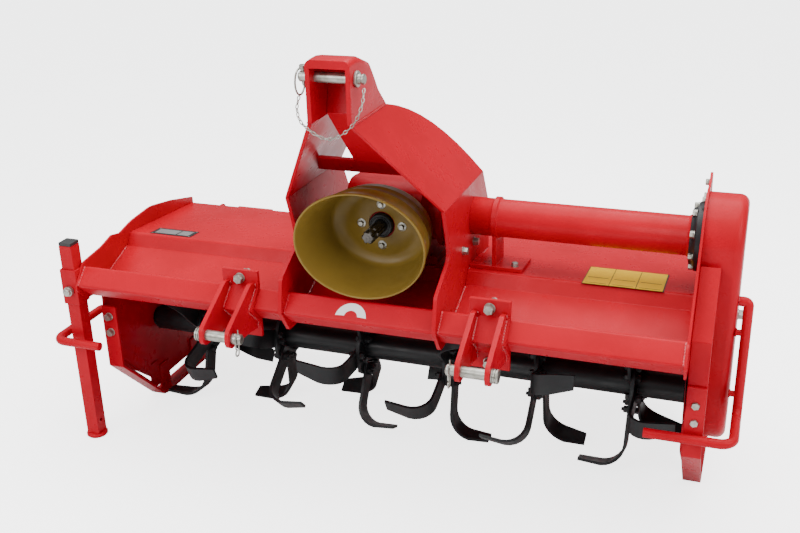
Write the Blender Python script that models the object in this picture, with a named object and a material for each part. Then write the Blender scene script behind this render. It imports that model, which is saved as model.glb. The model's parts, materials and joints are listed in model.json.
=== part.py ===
"""Tractor-mounted rotary tiller, one named solid for each piece.

The working frame is set at the lower hitch pins: X across the machine, Y backwards from the pins,
Z up from the floor. All pieces hang from one empty that brings the middle of the footprint to the
world's origin. The tractor stands on the -Y side.
"""
import math

import bmesh
import bpy
from mathutils import Matrix, Vector

# ---------------------------------------------------------------- driving dimensions, metres
FIT = 0.0003                      # gap between pieces that touch
FLOOR_CLEARANCE = 0.010           # under the lowest tine tip
SEGMENTS = 32                     # sides of a full circle

# hitch
HITCH_Z = 0.465                   # lower pins above the floor
HITCH_HALF_SPAN = 0.3415          # category 1 spacing, half of 683 mm
MAST_HEIGHT = 0.680               # top pin above the lower pins
MAST_PIN_Y = 0.038
HITCH_PIN_RADIUS = 0.014
TOP_PIN_RADIUS = 0.0125
EAR_THICKNESS = 0.012
EAR_GAP = 0.062                   # between the two ears of a clevis
EAR_RADIUS = 0.026
CLAMP_THICKNESS = 0.010
CLAMP_WIDTH = 0.104

# front beam: a square tube standing on its corner
BEAM_SIDE = 0.065
BEAM_WALL = 0.006
BEAM_Y = 0.152
BEAM_Z = HITCH_Z + 0.035

# width of the machine
LEFT_END_X = -0.845               # outer face of the left end plate
RIGHT_END_X = 0.812               # inner face of the right end plate
PLATE = 0.006                     # end plates
MAST_PLATE_X = 0.215              # outer face of the two mast plates
MAST_PLATE = 0.010

# mast
HEAD_HALF = 0.0545                 # outside of the head's cheeks
HEAD_CHEEK = 0.011
HEAD_TOP_Z = HITCH_Z + MAST_HEIGHT + 0.048
HEAD_FRONT_Y = 0.002
FRONT_Y = -0.0233                  # foremost edge, on the ears of the lower hitch
KNEE_Z = HITCH_Z + 0.328          # where the mast's sides bend inwards
KNEE_FRONT_Y = 0.185
KNEE_REAR_Y = 0.539
NECK_Z = HITCH_Z + 0.580          # where the arms meet the head's cheeks
NECK_REAR_Y = 0.226
ARM_BULGE_Y = 0.4475              # control point of the arm's curved rear edge
ARM_BULGE_Z = HITCH_Z + 0.524
BRACE_TOP_Y = 0.246                # upper edge of the brace between the arms
BRACE_TOP_Z = HITCH_Z + 0.430

# hood
SHEET = 0.005
RIDGE_Y = 0.386
RIDGE_Z = HITCH_Z + 0.095
STEP_Y = 0.365
STEP_Z = HITCH_Z + 0.060
DECK_REAR_Y = 0.757
DECK_REAR_Z = HITCH_Z + 0.068
HEM = 0.045
HOOD_FRONT_Y = 0.186
HOOD_FRONT_Z = HITCH_Z - 0.012

# drive line
DRIVE_Y = 0.450                   # gearbox centre and cross tube axis
DRIVE_Z = HITCH_Z + 0.230
GEARBOX_FRONT_Y = 0.318
GEARBOX_HALF_X = 0.105
GEARBOX_REAR_Y = 0.575
STUB_RADIUS = 0.0175
STUB_END_Y = 0.208
TUBE_RADIUS = 0.051
TUBE_WALL = 0.006
TUBE_LEFT_X = 0.1505
FLANGE_RADIUS = 0.088
FLANGE_LENGTH = 0.030
RING_X = 0.281
RING_RADIUS = 0.0565
RING_LENGTH = 0.014

# shield over the drive shaft
SHIELD_RIM_Y = 0.138
SHIELD_REAR_Y = 0.3135
SHIELD_RIM_HALF_X = 0.178
SHIELD_RIM_HALF_Z = 0.141
SHIELD_REAR_HALF_X = 0.146
SHIELD_REAR_HALF_Z = 0.118
SHIELD_WALL = 0.004
SEAL_RADIUS = 0.033

# chain case
CASE_INNER_X = RIGHT_END_X + PLATE + FIT
CASE_WIDTH = 0.096
CASE_RADIUS = 0.116
CASE_EDGE = 0.024
CASE_WALL = 0.006

# rotor
ROTOR_Y = 0.480
TINE_REACH = 0.232
ROTOR_Z = TINE_REACH + FLOOR_CLEARANCE
ROTOR_TUBE_RADIUS = 0.038
ROTOR_TUBE_WALL = 0.008
ROTOR_END_GAP = 0.012
HUB_RADIUS = 0.088
HUB_THICKNESS = 0.010
HUB_COUNT = 6
FIRST_HUB_X = -0.645
LAST_HUB_X = 0.668
FIRST_LEAD = 66                   # degrees forward of straight down, tines to the right
LEAD_STEP = -21.6                 # degrees from one group to the next
TINES_PER_HUB = 6
TINE_THICKNESS = 0.008
TINE_WIDTH = 0.056
TINE_ARM = 0.120                  # length of the cutting leg along X
STUB_AXLE_RADIUS = 0.022
AXLE_FIT = 0.0004                 # running clearance around an axle or a hinge rod
AXLE_PLUG = 0.020

# skids
SKID_WIDTH = 0.048
SKID_THICKNESS = 0.008
SKID_FRONT_Y = 0.2095
SKID_TOP_Z = HITCH_Z - 0.068
SKID_KNEE_Z = HITCH_Z - 0.262
SKID_TOE_Y = 0.425
SKID_REAR_Y = 0.716

# parking stand
LEG_SIDE = 0.040
LEG_WALL = 0.004
LEG_LENGTH = 0.612
LEG_Y = 0.137
SLEEVE_WALL = 0.005
SLEEVE_HEIGHT = 0.105
SLEEVE_TOP_Z = HITCH_Z + 0.078
FOOT_RADIUS = 0.031
FOOT_THICKNESS = 0.012
CAP_HEIGHT = 0.010

# guards
GUARD_RADIUS = 0.0125
GUARD_LEFT_X = round(LEFT_END_X - 0.095, 6)
GUARD_LEFT_Y = 0.088
GUARD_STAY_RADIUS = 0.008
GUARD_RIGHT_X = round(RIGHT_END_X + 0.139, 6)
GUARD_RIGHT_Y = 0.352

# tailboard
TAIL_HINGE_Y = 0.776
TAIL_HINGE_Z = HITCH_Z + 0.052
TAIL_ROD_RADIUS = 0.007
TAIL_BARREL_RADIUS = 0.011
TAIL_SHEET = 0.004
TAIL_LOWER_Z = 0.050
TAIL_SWEEP = 0.074                # how far the lower edge trails the hinge

CENTRE_X = (GUARD_LEFT_X + GUARD_RIGHT_X) / 2
REAR_Y = TAIL_HINGE_Y + TAIL_SWEEP + TAIL_SHEET / 2
CENTRE_Y = (FRONT_Y + REAR_Y) / 2

FINISHES = {
    "red_paint": ((0.62, 0.02, 0.03, 1), 0.35, 0.0),
    "black_paint": ((0.015, 0.016, 0.018, 1), 0.5, 0.0),
    "yellow_plastic": ((0.42, 0.33, 0.05, 1), 0.4, 0.0),
    "zinc": ((0.62, 0.62, 0.60, 1), 0.35, 1.0),
    "steel": ((0.30, 0.28, 0.26, 1), 0.45, 1.0),
    "black_plastic": ((0.02, 0.02, 0.02, 1), 0.6, 0.0),
}


# ---------------------------------------------------------------- helpers
def clear_scene():
    """Remove every object, mesh and curve that the scene starts with."""
    for item in list(bpy.data.objects):
        bpy.data.objects.remove(item, do_unlink=True)


def empty(name, at, parent=None):
    """Add an empty at a place in its parent's frame."""
    item = bpy.data.objects.new(name, None)
    bpy.context.collection.objects.link(item)
    item.location = at
    item.parent = parent
    return item


def material(name, finish):
    """Make a Principled material for one piece."""
    colour, roughness, metallic = FINISHES[finish]
    made = bpy.data.materials.new(name)
    made.use_nodes = True
    shader = made.node_tree.nodes["Principled BSDF"]
    shader.inputs["Base Color"].default_value = colour
    shader.inputs["Roughness"].default_value = roughness
    shader.inputs["Metallic"].default_value = metallic
    return made


def add(name, bm, finish, parent, at=(0, 0, 0)):
    """Turn a bmesh into a named object with its own material."""
    bmesh.ops.remove_doubles(bm, verts=bm.verts, dist=1e-6)
    bmesh.ops.recalc_face_normals(bm, faces=bm.faces)
    mesh = bpy.data.meshes.new(name)
    bm.to_mesh(mesh)
    bm.free()
    item = bpy.data.objects.new(name, mesh)
    bpy.context.collection.objects.link(item)
    item.parent = parent
    item.location = at
    if finish:
        mesh.materials.append(material(name + "_finish", finish))
    mesh.shade_smooth()
    mesh.set_sharp_from_angle(angle=math.radians(35))
    return item


def combine(target, tool, operation):
    """Cut a hidden tool from an object, or join it on."""
    tool.hide_render = True
    tool.display_type = "WIRE"
    step = target.modifiers.new(tool.name, "BOOLEAN")
    step.operation = operation
    step.solver = "EXACT"
    step.object = tool
    return target


def cut(target, tool):
    """Take a hidden tool away from an object."""
    return combine(target, tool, "DIFFERENCE")


def weld(target, tool):
    """Join a hidden tool to an object as one body."""
    return combine(target, tool, "UNION")


def arc(cy, cz, radius, start, end, steps):
    """Points on an arc, angles in degrees, both ends included."""
    points = []
    for i in range(steps + 1):
        angle = math.radians(start + (end - start) * i / steps)
        points.append((cy + radius * math.cos(angle), cz + radius * math.sin(angle)))
    return points


def rounded(corners, steps=5):
    """Round an outline's corners. Each corner is (u, v) or (u, v, radius)."""
    points = []
    count = len(corners)
    for i, corner in enumerate(corners):
        here = Vector(corner[:2])
        radius = corner[2] if len(corner) > 2 else 0
        if radius == 0:
            points.append(tuple(here))
            continue
        back = (Vector(corners[i - 1][:2]) - here).normalized()
        ahead = (Vector(corners[(i + 1) % count][:2]) - here).normalized()
        half = back.angle(ahead) / 2
        reach = radius / math.tan(half)
        centre = here + (back + ahead).normalized() * (radius / math.sin(half))
        first = here + back * reach - centre
        last = here + ahead * reach - centre
        sweep = first.angle_signed(last)
        for k in range(steps + 1):
            turned = Matrix.Rotation(-sweep * k / steps, 2) @ first
            points.append(tuple(centre + turned))
    return points


def place(axis, u, v, along):
    """Put an outline's point into space: the outline lies across the axis."""
    if axis == "x":
        return (along, u, v)
    if axis == "y":
        return (u, along, v)
    return (u, v, along)


def prism(outline, axis, low, high):
    """Extrude a closed outline along an axis."""
    bm = bmesh.new()
    verts = [bm.verts.new(place(axis, u, v, low)) for u, v in outline]
    face = bm.faces.new(verts)
    made = bmesh.ops.extrude_face_region(bm, geom=[face])
    moved = [g for g in made["geom"] if isinstance(g, bmesh.types.BMVert)]
    shift = Vector(place(axis, 0, 0, high - low))
    bmesh.ops.translate(bm, verts=moved, vec=shift)
    return bm


def block(x, y, z):
    """A box between two limits on each axis."""
    outline = [(y[0], z[0]), (y[1], z[0]), (y[1], z[1]), (y[0], z[1])]
    return prism(outline, "x", x[0], x[1])


def lathe(profile, axis, centre, segments=SEGMENTS):
    """Turn a closed (along, radius) profile about an axis through a centre (u, v)."""
    bm = bmesh.new()
    rings = []
    for along, radius in profile:
        if radius < 1e-9:
            rings.append([bm.verts.new(place(axis, centre[0], centre[1], along))])
            continue
        ring = []
        for i in range(segments):
            angle = 2 * math.pi * i / segments
            u = centre[0] + radius * math.cos(angle)
            v = centre[1] + radius * math.sin(angle)
            ring.append(bm.verts.new(place(axis, u, v, along)))
        rings.append(ring)
    pairs = list(zip(rings, rings[1:]))
    if len(rings[0]) > 1:
        pairs.append((rings[-1], rings[0]))
    for one, two in pairs:
        for i in range(segments):
            j = (i + 1) % segments
            corners = [one[i % len(one)], one[j % len(one)], two[j % len(two)], two[i % len(two)]]
            unique = []
            for vert in corners:
                if vert not in unique:
                    unique.append(vert)
            if len(unique) > 2:
                bm.faces.new(unique)
    return bm


def rod(axis, centre, low, high, radius, chamfer=0.0, segments=SEGMENTS):
    """A solid round bar with chamfered ends."""
    profile = [(low, 0), (low, radius - chamfer), (low + chamfer, radius),
               (high - chamfer, radius), (high, radius - chamfer), (high, 0)]
    if chamfer == 0:
        profile = [(low, 0), (low, radius), (high, radius), (high, 0)]
    return lathe(profile, axis, centre, segments)


def pipe(axis, centre, low, high, outer, inner, segments=SEGMENTS):
    """A round tube, open at both ends."""
    return lathe([(low, outer), (high, outer), (high, inner), (low, inner)], axis, centre, segments)


def strip(path, thickness, axis, low, high):
    """A sheet of even thickness that follows a path, extruded across it."""
    half = thickness / 2
    left, right = [], []
    for i, point in enumerate(path):
        here = Vector(point)
        before = (here - Vector(path[i - 1])).normalized() if i > 0 else None
        after = (Vector(path[i + 1]) - here).normalized() if i + 1 < len(path) else None
        run = (before or after) + (after or before)
        run.normalize()
        normal = Vector((-run.y, run.x))
        stretch = half / max(0.3, normal.dot(Vector((-(after or before).y, (after or before).x))))
        left.append(tuple(here + normal * stretch))
        right.append(tuple(here - normal * stretch))
    return prism(left + right[::-1], axis, low, high)


def bent_route(points, bends, steps=5):
    """The centre line through points, each inner point rounded with its own bend radius."""
    route = [Vector(points[0])]
    for i in range(1, len(points) - 1):
        here = Vector(points[i])
        back = (Vector(points[i - 1]) - here).normalized()
        ahead = (Vector(points[i + 1]) - here).normalized()
        half = back.angle(ahead) / 2
        bend = bends[i - 1]
        centre = here + (back + ahead).normalized() * (bend / math.sin(half))
        first = (here + back * (bend / math.tan(half)) - centre).normalized()
        last = (here + ahead * (bend / math.tan(half)) - centre).normalized()
        for k in range(steps + 1):
            route.append(centre + first.slerp(last, k / steps) * bend)
    route.append(Vector(points[-1]))
    return route


def bent_bar(points, bends, radius, segments=16):
    """A round bar swept along a bent centre line."""
    route = bent_route(points, bends)
    bm = bmesh.new()
    rings = []
    side = None
    for i, here in enumerate(route):
        before = (here - route[i - 1]).normalized() if i else None
        after = (route[i + 1] - here).normalized() if i + 1 < len(route) else None
        run = ((before or after) + (after or before)).normalized()
        if side is None:
            side = run.orthogonal().normalized()
        side = (side - run * side.dot(run)).normalized()
        other = run.cross(side)
        ring = []
        for k in range(segments):
            angle = 2 * math.pi * k / segments
            offset = side * math.cos(angle) + other * math.sin(angle)
            ring.append(bm.verts.new(here + offset * radius))
        rings.append(ring)
    for one, two in zip(rings, rings[1:]):
        for k in range(segments):
            j = (k + 1) % segments
            bm.faces.new((one[k], one[j], two[j], two[k]))
    bm.faces.new(rings[0][::-1])
    bm.faces.new(rings[-1])
    return bm


def diamond(grow=0.0):
    """The front beam's section, a square on its corner."""
    half = BEAM_SIDE / math.sqrt(2) + grow
    return [(BEAM_Y - half, BEAM_Z), (BEAM_Y, BEAM_Z - half),
            (BEAM_Y + half, BEAM_Z), (BEAM_Y, BEAM_Z + half)]


# ---------------------------------------------------------------- frame
def front_beam(root):
    """The square tube that carries the two lower hitch brackets."""
    low, high = LEFT_END_X + PLATE + FIT, RIGHT_END_X - FIT
    beam = add("front_beam", prism(diamond(), "x", low, high), "red_paint", root)
    bore = add("beam_bore", prism(diamond(-BEAM_WALL * math.sqrt(2)), "x", low - 0.01, high + 0.01),
               None, root)
    return cut(beam, bore)


def end_plate_left(root):
    """The left end plate, from the front beam to the rear of the hood."""
    nose = BEAM_SIDE / math.sqrt(2) + 0.006
    outline = rounded([
        (SKID_FRONT_Y + SKID_THICKNESS / 2 + FIT, BEAM_Z - 0.055, 0.010),
        (BEAM_Y - 0.012, BEAM_Z - nose, 0.012),
        (BEAM_Y - nose, BEAM_Z - 0.008, 0.012),
        (BEAM_Y - 0.006, BEAM_Z + nose + 0.004, 0.02),
        (0.239, HITCH_Z + 0.104, 0.04), (0.294, HITCH_Z + 0.120, 0.012),
        (0.335, HITCH_Z + 0.112, 0.012), (0.400, HITCH_Z + 0.128, 0.15),
        (0.510, HITCH_Z + 0.138, 0.20), (0.630, HITCH_Z + 0.118, 0.20),
        (DECK_REAR_Y, DECK_REAR_Z + 0.020, 0.006), (DECK_REAR_Y, HITCH_Z - 0.10, 0.03),
        (0.745, HITCH_Z - 0.38, 0.04), (0.730, 0.030, 0.03),
        (SKID_TOE_Y + 0.012, 0.030, 0.04),
        (SKID_FRONT_Y + SKID_THICKNESS / 2 + FIT, SKID_KNEE_Z + 0.012, 0.04)])
    plate = add("end_plate_left", prism(outline, "x", LEFT_END_X, LEFT_END_X + PLATE), "red_paint", root)
    hole = add("axle_hole_left", rod("x", (ROTOR_Y, ROTOR_Z), LEFT_END_X - 0.01, LEFT_END_X + 0.02,
                                     STUB_AXLE_RADIUS + 0.008), None, root)
    return cut(plate, hole)


def end_plate_right(root):
    """The right end plate, with the round ear behind the cross tube's bearing."""
    nose = BEAM_SIDE / math.sqrt(2) + 0.006
    ear = arc(DRIVE_Y, DRIVE_Z, 0.128, 158, 84, 6)
    ear += arc(DRIVE_Y + 0.078, DRIVE_Z + 0.120, 0.026, 125, 15, 6)
    ear.append((DRIVE_Y + 0.126, DRIVE_Z + 0.050))
    outline = rounded([
        (SKID_FRONT_Y + SKID_THICKNESS / 2 + FIT, BEAM_Z - 0.055, 0.010),
        (BEAM_Y - 0.012, BEAM_Z - nose, 0.012),
        (BEAM_Y - nose, BEAM_Z - 0.008, 0.012),
        (BEAM_Y - 0.006, BEAM_Z + nose + 0.004, 0.02)])
    outline += ear + rounded([
        (0.640, HITCH_Z + 0.118, 0.10),
        (DECK_REAR_Y, DECK_REAR_Z + 0.020, 0.006), (DECK_REAR_Y, HITCH_Z - 0.10, 0.03),
        (0.745, HITCH_Z - 0.38, 0.04), (0.730, 0.030, 0.03),
        (SKID_TOE_Y + 0.012, 0.030, 0.04),
        (SKID_FRONT_Y + SKID_THICKNESS / 2 + FIT, SKID_KNEE_Z + 0.012, 0.04)])
    plate = add("end_plate_right", prism(outline, "x", RIGHT_END_X, RIGHT_END_X + PLATE),
                "red_paint", root)
    hole = add("axle_hole_right", rod("x", (ROTOR_Y, ROTOR_Z), RIGHT_END_X - 0.01, RIGHT_END_X + 0.02,
                                      STUB_AXLE_RADIUS + 0.008), None, root)
    return cut(plate, hole)


def hood_path():
    """The folded sheet's section, from the beam's underside to the rear edge."""
    return [(HOOD_FRONT_Y - 0.006, HOOD_FRONT_Z + 0.012), (HOOD_FRONT_Y, HOOD_FRONT_Z),
            (STEP_Y, STEP_Z), (RIDGE_Y, RIDGE_Z), (DECK_REAR_Y - SHEET / 2, DECK_REAR_Z),
            (DECK_REAR_Y - SHEET / 2, DECK_REAR_Z - HEM)]


def hood_panel(root, name, low, high):
    """One stretch of the hood between two plates."""
    return add(name, strip(hood_path(), SHEET, "x", low + FIT, high - FIT), "red_paint", root)


def hood(root):
    """The three stretches of the hood."""
    hood_panel(root, "hood_left", LEFT_END_X + PLATE, -MAST_PLATE_X)
    hood_panel(root, "hood_centre", -MAST_PLATE_X + MAST_PLATE, MAST_PLATE_X - MAST_PLATE)
    hood_panel(root, "hood_right", MAST_PLATE_X, RIGHT_END_X)


# ---------------------------------------------------------------- mast


def mast_plate(root, name, side):
    """A mast plate, upright beside the gearbox, from the front beam to the mast's knee."""
    outline = rounded([
        (KNEE_FRONT_Y, KNEE_Z - FIT), (0.212, HITCH_Z + 0.256, 0.06), (0.228, HITCH_Z + 0.190, 0.03),
        (0.116, HITCH_Z + 0.130, 0.02), (0.096, HITCH_Z + 0.040, 0.02),
        (BEAM_Y - 0.010, HITCH_Z - 0.028, 0.01), (BEAM_Y + 0.046, HITCH_Z - 0.028, 0.01),
        (STEP_Y, HITCH_Z + 0.030, 0.02), (0.600, HITCH_Z + 0.040, 0.02),
        (0.612, HITCH_Z + 0.200, 0.05), (KNEE_REAR_Y, KNEE_Z - FIT)])
    low, high = sorted((side * MAST_PLATE_X, side * (MAST_PLATE_X - MAST_PLATE)))
    upright = add(name, prism(outline, "x", low, high), "red_paint", root)
    slot = prism(diamond(FIT * 1.5), "x", low - 0.01, high + 0.01)
    return cut(upright, add(name + "_beam_slot", slot, None, root))


def mast_arm(root, name, side):
    """The leaning upper half of the mast, from the knee in to the head."""
    lean = (MAST_PLATE_X - HEAD_HALF) / (NECK_Z - KNEE_Z)
    knee, pull = Vector((KNEE_REAR_Y, KNEE_Z)), Vector((ARM_BULGE_Y, ARM_BULGE_Z))
    neck = Vector((NECK_REAR_Y, NECK_Z - FIT))
    outline = [Vector((KNEE_FRONT_Y, KNEE_Z)), knee]
    for step in range(1, 8):
        share = step / 8
        outline.append(knee.lerp(pull, share).lerp(pull.lerp(neck, share), share))
    outline += [neck, Vector((HEAD_FRONT_Y, NECK_Z - FIT))]
    bm = bmesh.new()
    rings = []
    for inset in (0, MAST_PLATE):
        rings.append([bm.verts.new((side * (MAST_PLATE_X - inset - lean * (z - KNEE_Z)), y, z))
                      for y, z in outline])
    outer, inner = rings
    bm.faces.new(outer)
    bm.faces.new(inner)
    for i in range(len(outer)):
        j = (i + 1) % len(outer)
        bm.faces.new([outer[i], inner[i], inner[j], outer[j]])
    return add(name, bm, "red_paint", root)


def mast_head(root):
    """The head: two cheeks joined by a curved top, bored for the top link's pin."""
    outline = rounded([
        (HEAD_FRONT_Y, NECK_Z, 0.008), (NECK_REAR_Y, NECK_Z),
        (0.180, HITCH_Z + 0.634, 0.08), (0.130, HEAD_TOP_Z - 0.026, 0.006),
        (0.045, HEAD_TOP_Z, 0.10), (HEAD_FRONT_Y, HEAD_TOP_Z - 0.003, 0.010)])
    head = add("mast_head", prism(outline, "x", -HEAD_HALF, HEAD_HALF), "red_paint", root)
    inside = [(HEAD_FRONT_Y - 0.05, NECK_Z - 0.05), (NECK_REAR_Y + 0.05, NECK_Z - 0.05),
              (NECK_REAR_Y + 0.05, HEAD_TOP_Z - 0.048), (0.128, HEAD_TOP_Z - 0.036),
              (0.045, HEAD_TOP_Z - 0.021), (HEAD_FRONT_Y - 0.05, HEAD_TOP_Z - 0.023)]
    inner = HEAD_HALF - HEAD_CHEEK
    cut(head, add("head_inside", prism(inside, "x", -inner, inner), None, root))
    bore = rod("x", (MAST_PIN_Y, HITCH_Z + MAST_HEIGHT), -0.1, 0.1, TOP_PIN_RADIUS + FIT)
    return cut(head, add("head_bore", bore, None, root))


def head_back(root):
    """The plate that closes the head's rear and runs down to the brace between the arms."""
    inner = HEAD_HALF - HEAD_CHEEK - FIT
    end = BRACE_TOP_Y - FIT
    outline = [(0.110, HEAD_TOP_Z - 0.040), (0.102, HITCH_Z + 0.640), (0.086, HITCH_Z + 0.585),
               (end, BRACE_TOP_Z - 0.0085), (end, BRACE_TOP_Z + 0.0025), (0.0965, HITCH_Z + 0.5855),
               (0.110, HITCH_Z + 0.640), (0.118, HEAD_TOP_Z - 0.040)]
    return add("head_back", prism(outline, "x", -inner, inner), "red_paint", root)


def mast_brace(root):
    """The cross plate between the two leaning arms, with the trapezium outline of the gap."""
    lean = (MAST_PLATE_X - HEAD_HALF) / (NECK_Z - KNEE_Z)
    bm = bmesh.new()
    low_z, high_z = HITCH_Z + 0.372, BRACE_TOP_Z
    low_y, high_y = 0.330, BRACE_TOP_Y
    rings = []
    for y, z in ((low_y, low_z), (high_y, high_z)):
        for drop in (0, -0.008):
            half = MAST_PLATE_X - MAST_PLATE - lean * (z + drop - KNEE_Z) - 1.5 * FIT
            rings.append([bm.verts.new((-half, y, z + drop)), bm.verts.new((half, y, z + drop))])
    a, b, c, d = rings
    for quad in ((a[0], a[1], c[1], c[0]), (b[0], b[1], d[1], d[0]), (a[0], a[1], b[1], b[0]),
                 (c[0], c[1], d[1], d[0])):
        bm.faces.new(quad)
    bm.faces.new((a[0], b[0], d[0], c[0]))
    bm.faces.new((a[1], b[1], d[1], c[1]))
    return add("mast_brace", bm, "red_paint", root)


def top_pin(root):
    """The top link's pin, with its collar on the right and its drilled tail on the left."""
    z = HITCH_Z + MAST_HEIGHT
    right, left = HEAD_HALF + FIT, -HEAD_HALF - 0.030
    profile = [(left, 0), (left, TOP_PIN_RADIUS - 0.003), (left + 0.003, TOP_PIN_RADIUS),
               (right, TOP_PIN_RADIUS), (right, 0.019), (right + 0.006, 0.019),
               (right + 0.007, 0.012), (right + 0.019, 0.012), (right + 0.022, 0.009),
               (right + 0.022, 0)]
    return add("top_pin", lathe(profile, "x", (MAST_PIN_Y, z)), "zinc", root)


# ---------------------------------------------------------------- drive line
def gearbox(root):
    """The bevel gearbox: cast body, front and side bosses, and the drilled feet."""
    outline = rounded([
        (GEARBOX_FRONT_Y + 0.012, HITCH_Z + 0.112, 0.03), (GEARBOX_REAR_Y, HITCH_Z + 0.112, 0.05),
        (GEARBOX_REAR_Y, HITCH_Z + 0.318, 0.07), (GEARBOX_FRONT_Y + 0.012, HITCH_Z + 0.340, 0.05)])
    body = add("gearbox", prism(outline, "x", -GEARBOX_HALF_X, GEARBOX_HALF_X), "red_paint", root)
    front = rod("y", (0, DRIVE_Z), GEARBOX_FRONT_Y, DRIVE_Y, 0.078)
    weld(body, add("gearbox_front_boss", front, None, root))
    side = lathe([(0, 0), (0, 0.082), (0.132, 0.074), (0.132, 0.090), (TUBE_LEFT_X - FIT, 0.090),
                  (TUBE_LEFT_X - FIT, 0)], "x", (DRIVE_Y, DRIVE_Z))
    weld(body, add("gearbox_side_boss", side, None, root))
    base = block((-GEARBOX_HALF_X - 0.022, GEARBOX_HALF_X + 0.022), (0.395, 0.560),
                 (RIDGE_Z + 0.004, HITCH_Z + 0.121))
    weld(body, add("gearbox_base", base, None, root))
    hollow = block((-GEARBOX_HALF_X + 0.028, GEARBOX_HALF_X - 0.028), (0.372, 0.545),
                   (RIDGE_Z - 0.02, HITCH_Z + 0.295))
    return cut(body, add("gearbox_hollow", hollow, None, root))


def gearbox_seat(root):
    """The bed welded on the hood under the gearbox, cut to the hood's slope."""
    slope = (DECK_REAR_Z - RIDGE_Z) / (DECK_REAR_Y - RIDGE_Y)
    lift = SHEET / 2 / math.cos(math.atan(slope)) + FIT
    front, rear = 0.395, 0.575
    outline = [(front, RIDGE_Z + slope * (front - RIDGE_Y) + lift),
               (rear, RIDGE_Z + slope * (rear - RIDGE_Y) + lift),
               (rear, RIDGE_Z + 0.004 - FIT), (front, RIDGE_Z + 0.004 - FIT)]
    inner = MAST_PLATE_X - MAST_PLATE - FIT
    return add("gearbox_seat", prism(outline, "x", -inner, inner), "red_paint", root)


def drive_shaft(root):
    """The splined input stub, on its own axis."""
    axis = empty("drive_axis", (0, GEARBOX_FRONT_Y, DRIVE_Z), root)
    front, rear = STUB_END_Y - GEARBOX_FRONT_Y, -FIT
    profile = [(front, 0), (front, STUB_RADIUS - 0.003), (front + 0.003, STUB_RADIUS),
               (front + 0.022, STUB_RADIUS), (front + 0.025, STUB_RADIUS - 0.0032),
               (front + 0.031, STUB_RADIUS - 0.0032), (front + 0.034, STUB_RADIUS),
               (rear, STUB_RADIUS), (rear, 0)]
    return add("drive_shaft", lathe(profile, "y", (0, 0)), "steel", axis)


def seal_carrier(root):
    """The black oil seal ring around the stub."""
    front, rear = GEARBOX_FRONT_Y - 0.016, GEARBOX_FRONT_Y - FIT
    inner = STUB_RADIUS + 0.002
    profile = [(front, inner), (front, SEAL_RADIUS - 0.005), (front + 0.004, SEAL_RADIUS),
               (rear, SEAL_RADIUS), (rear, inner)]
    return add("seal_carrier", lathe(profile, "y", (0, DRIVE_Z)), "black_paint", root)


def shield_ring(bm, y, half_x, half_z, count=40):
    """One oval ring of the shield."""
    ring = []
    for i in range(count):
        angle = 2 * math.pi * i / count
        ring.append(bm.verts.new((half_x * math.cos(angle), y, DRIVE_Z + half_z * math.sin(angle))))
    return ring


def drive_shield(root):
    """The oval plastic shield, an open cup with a rear wall bolted to the gearbox."""
    bm = bmesh.new()
    hole = SEAL_RADIUS + 0.004
    back, wall = SHIELD_REAR_Y + 0.0040, SHIELD_WALL
    stations = [
        (back, hole, hole), (back, SHIELD_REAR_HALF_X - 0.022, SHIELD_REAR_HALF_Z - 0.022),
        (back - 0.008, SHIELD_REAR_HALF_X - 0.006, SHIELD_REAR_HALF_Z - 0.006),
        (back - 0.024, SHIELD_REAR_HALF_X, SHIELD_REAR_HALF_Z),
        (SHIELD_RIM_Y + 0.014, SHIELD_RIM_HALF_X - 0.003, SHIELD_RIM_HALF_Z - 0.003),
        (SHIELD_RIM_Y, SHIELD_RIM_HALF_X, SHIELD_RIM_HALF_Z),
        (SHIELD_RIM_Y, SHIELD_RIM_HALF_X - wall, SHIELD_RIM_HALF_Z - wall),
        (SHIELD_RIM_Y + 0.014, SHIELD_RIM_HALF_X - 0.003 - wall, SHIELD_RIM_HALF_Z - 0.003 - wall),
        (back - 0.024, SHIELD_REAR_HALF_X - wall, SHIELD_REAR_HALF_Z - wall),
        (back - 0.011, SHIELD_REAR_HALF_X - 0.010, SHIELD_REAR_HALF_Z - 0.010),
        (back - wall, SHIELD_REAR_HALF_X - 0.024, SHIELD_REAR_HALF_Z - 0.024),
        (back - wall, hole, hole)]
    rings = [shield_ring(bm, *station) for station in stations]
    for one, two in zip(rings, rings[1:] + rings[:1]):
        for i in range(len(one)):
            j = (i + 1) % len(one)
            bm.faces.new((one[i], one[j], two[j], two[i]))
    return add("drive_shield", bm, "yellow_plastic", root)


def cross_tube(root):
    """The tube that carries the side shaft, with its welded ring and end flanges."""
    left, right = TUBE_LEFT_X, RIGHT_END_X - FLANGE_LENGTH - FIT
    inner = TUBE_RADIUS - TUBE_WALL
    profile = [(left, inner), (left, 0.086), (left + 0.014, 0.086), (left + 0.014, TUBE_RADIUS),
               (RING_X - RING_LENGTH / 2, TUBE_RADIUS), (RING_X - RING_LENGTH / 2, RING_RADIUS),
               (RING_X + RING_LENGTH / 2, RING_RADIUS), (RING_X + RING_LENGTH / 2, TUBE_RADIUS),
               (right, TUBE_RADIUS), (right, inner)]
    return add("cross_tube", lathe(profile, "x", (DRIVE_Y, DRIVE_Z)), "red_paint", root)


def bearing_flange(root):
    """The black bearing housing that bolts the tube to the right end plate."""
    low, high = RIGHT_END_X - FLANGE_LENGTH, RIGHT_END_X - FIT
    profile = [(low, 0.030), (low, 0.070), (low + 0.006, 0.074), (low + 0.014, FLANGE_RADIUS),
               (high, FLANGE_RADIUS), (high, 0.030)]
    return add("bearing_flange", lathe(profile, "x", (DRIVE_Y, DRIVE_Z)), "black_paint", root)


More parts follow.
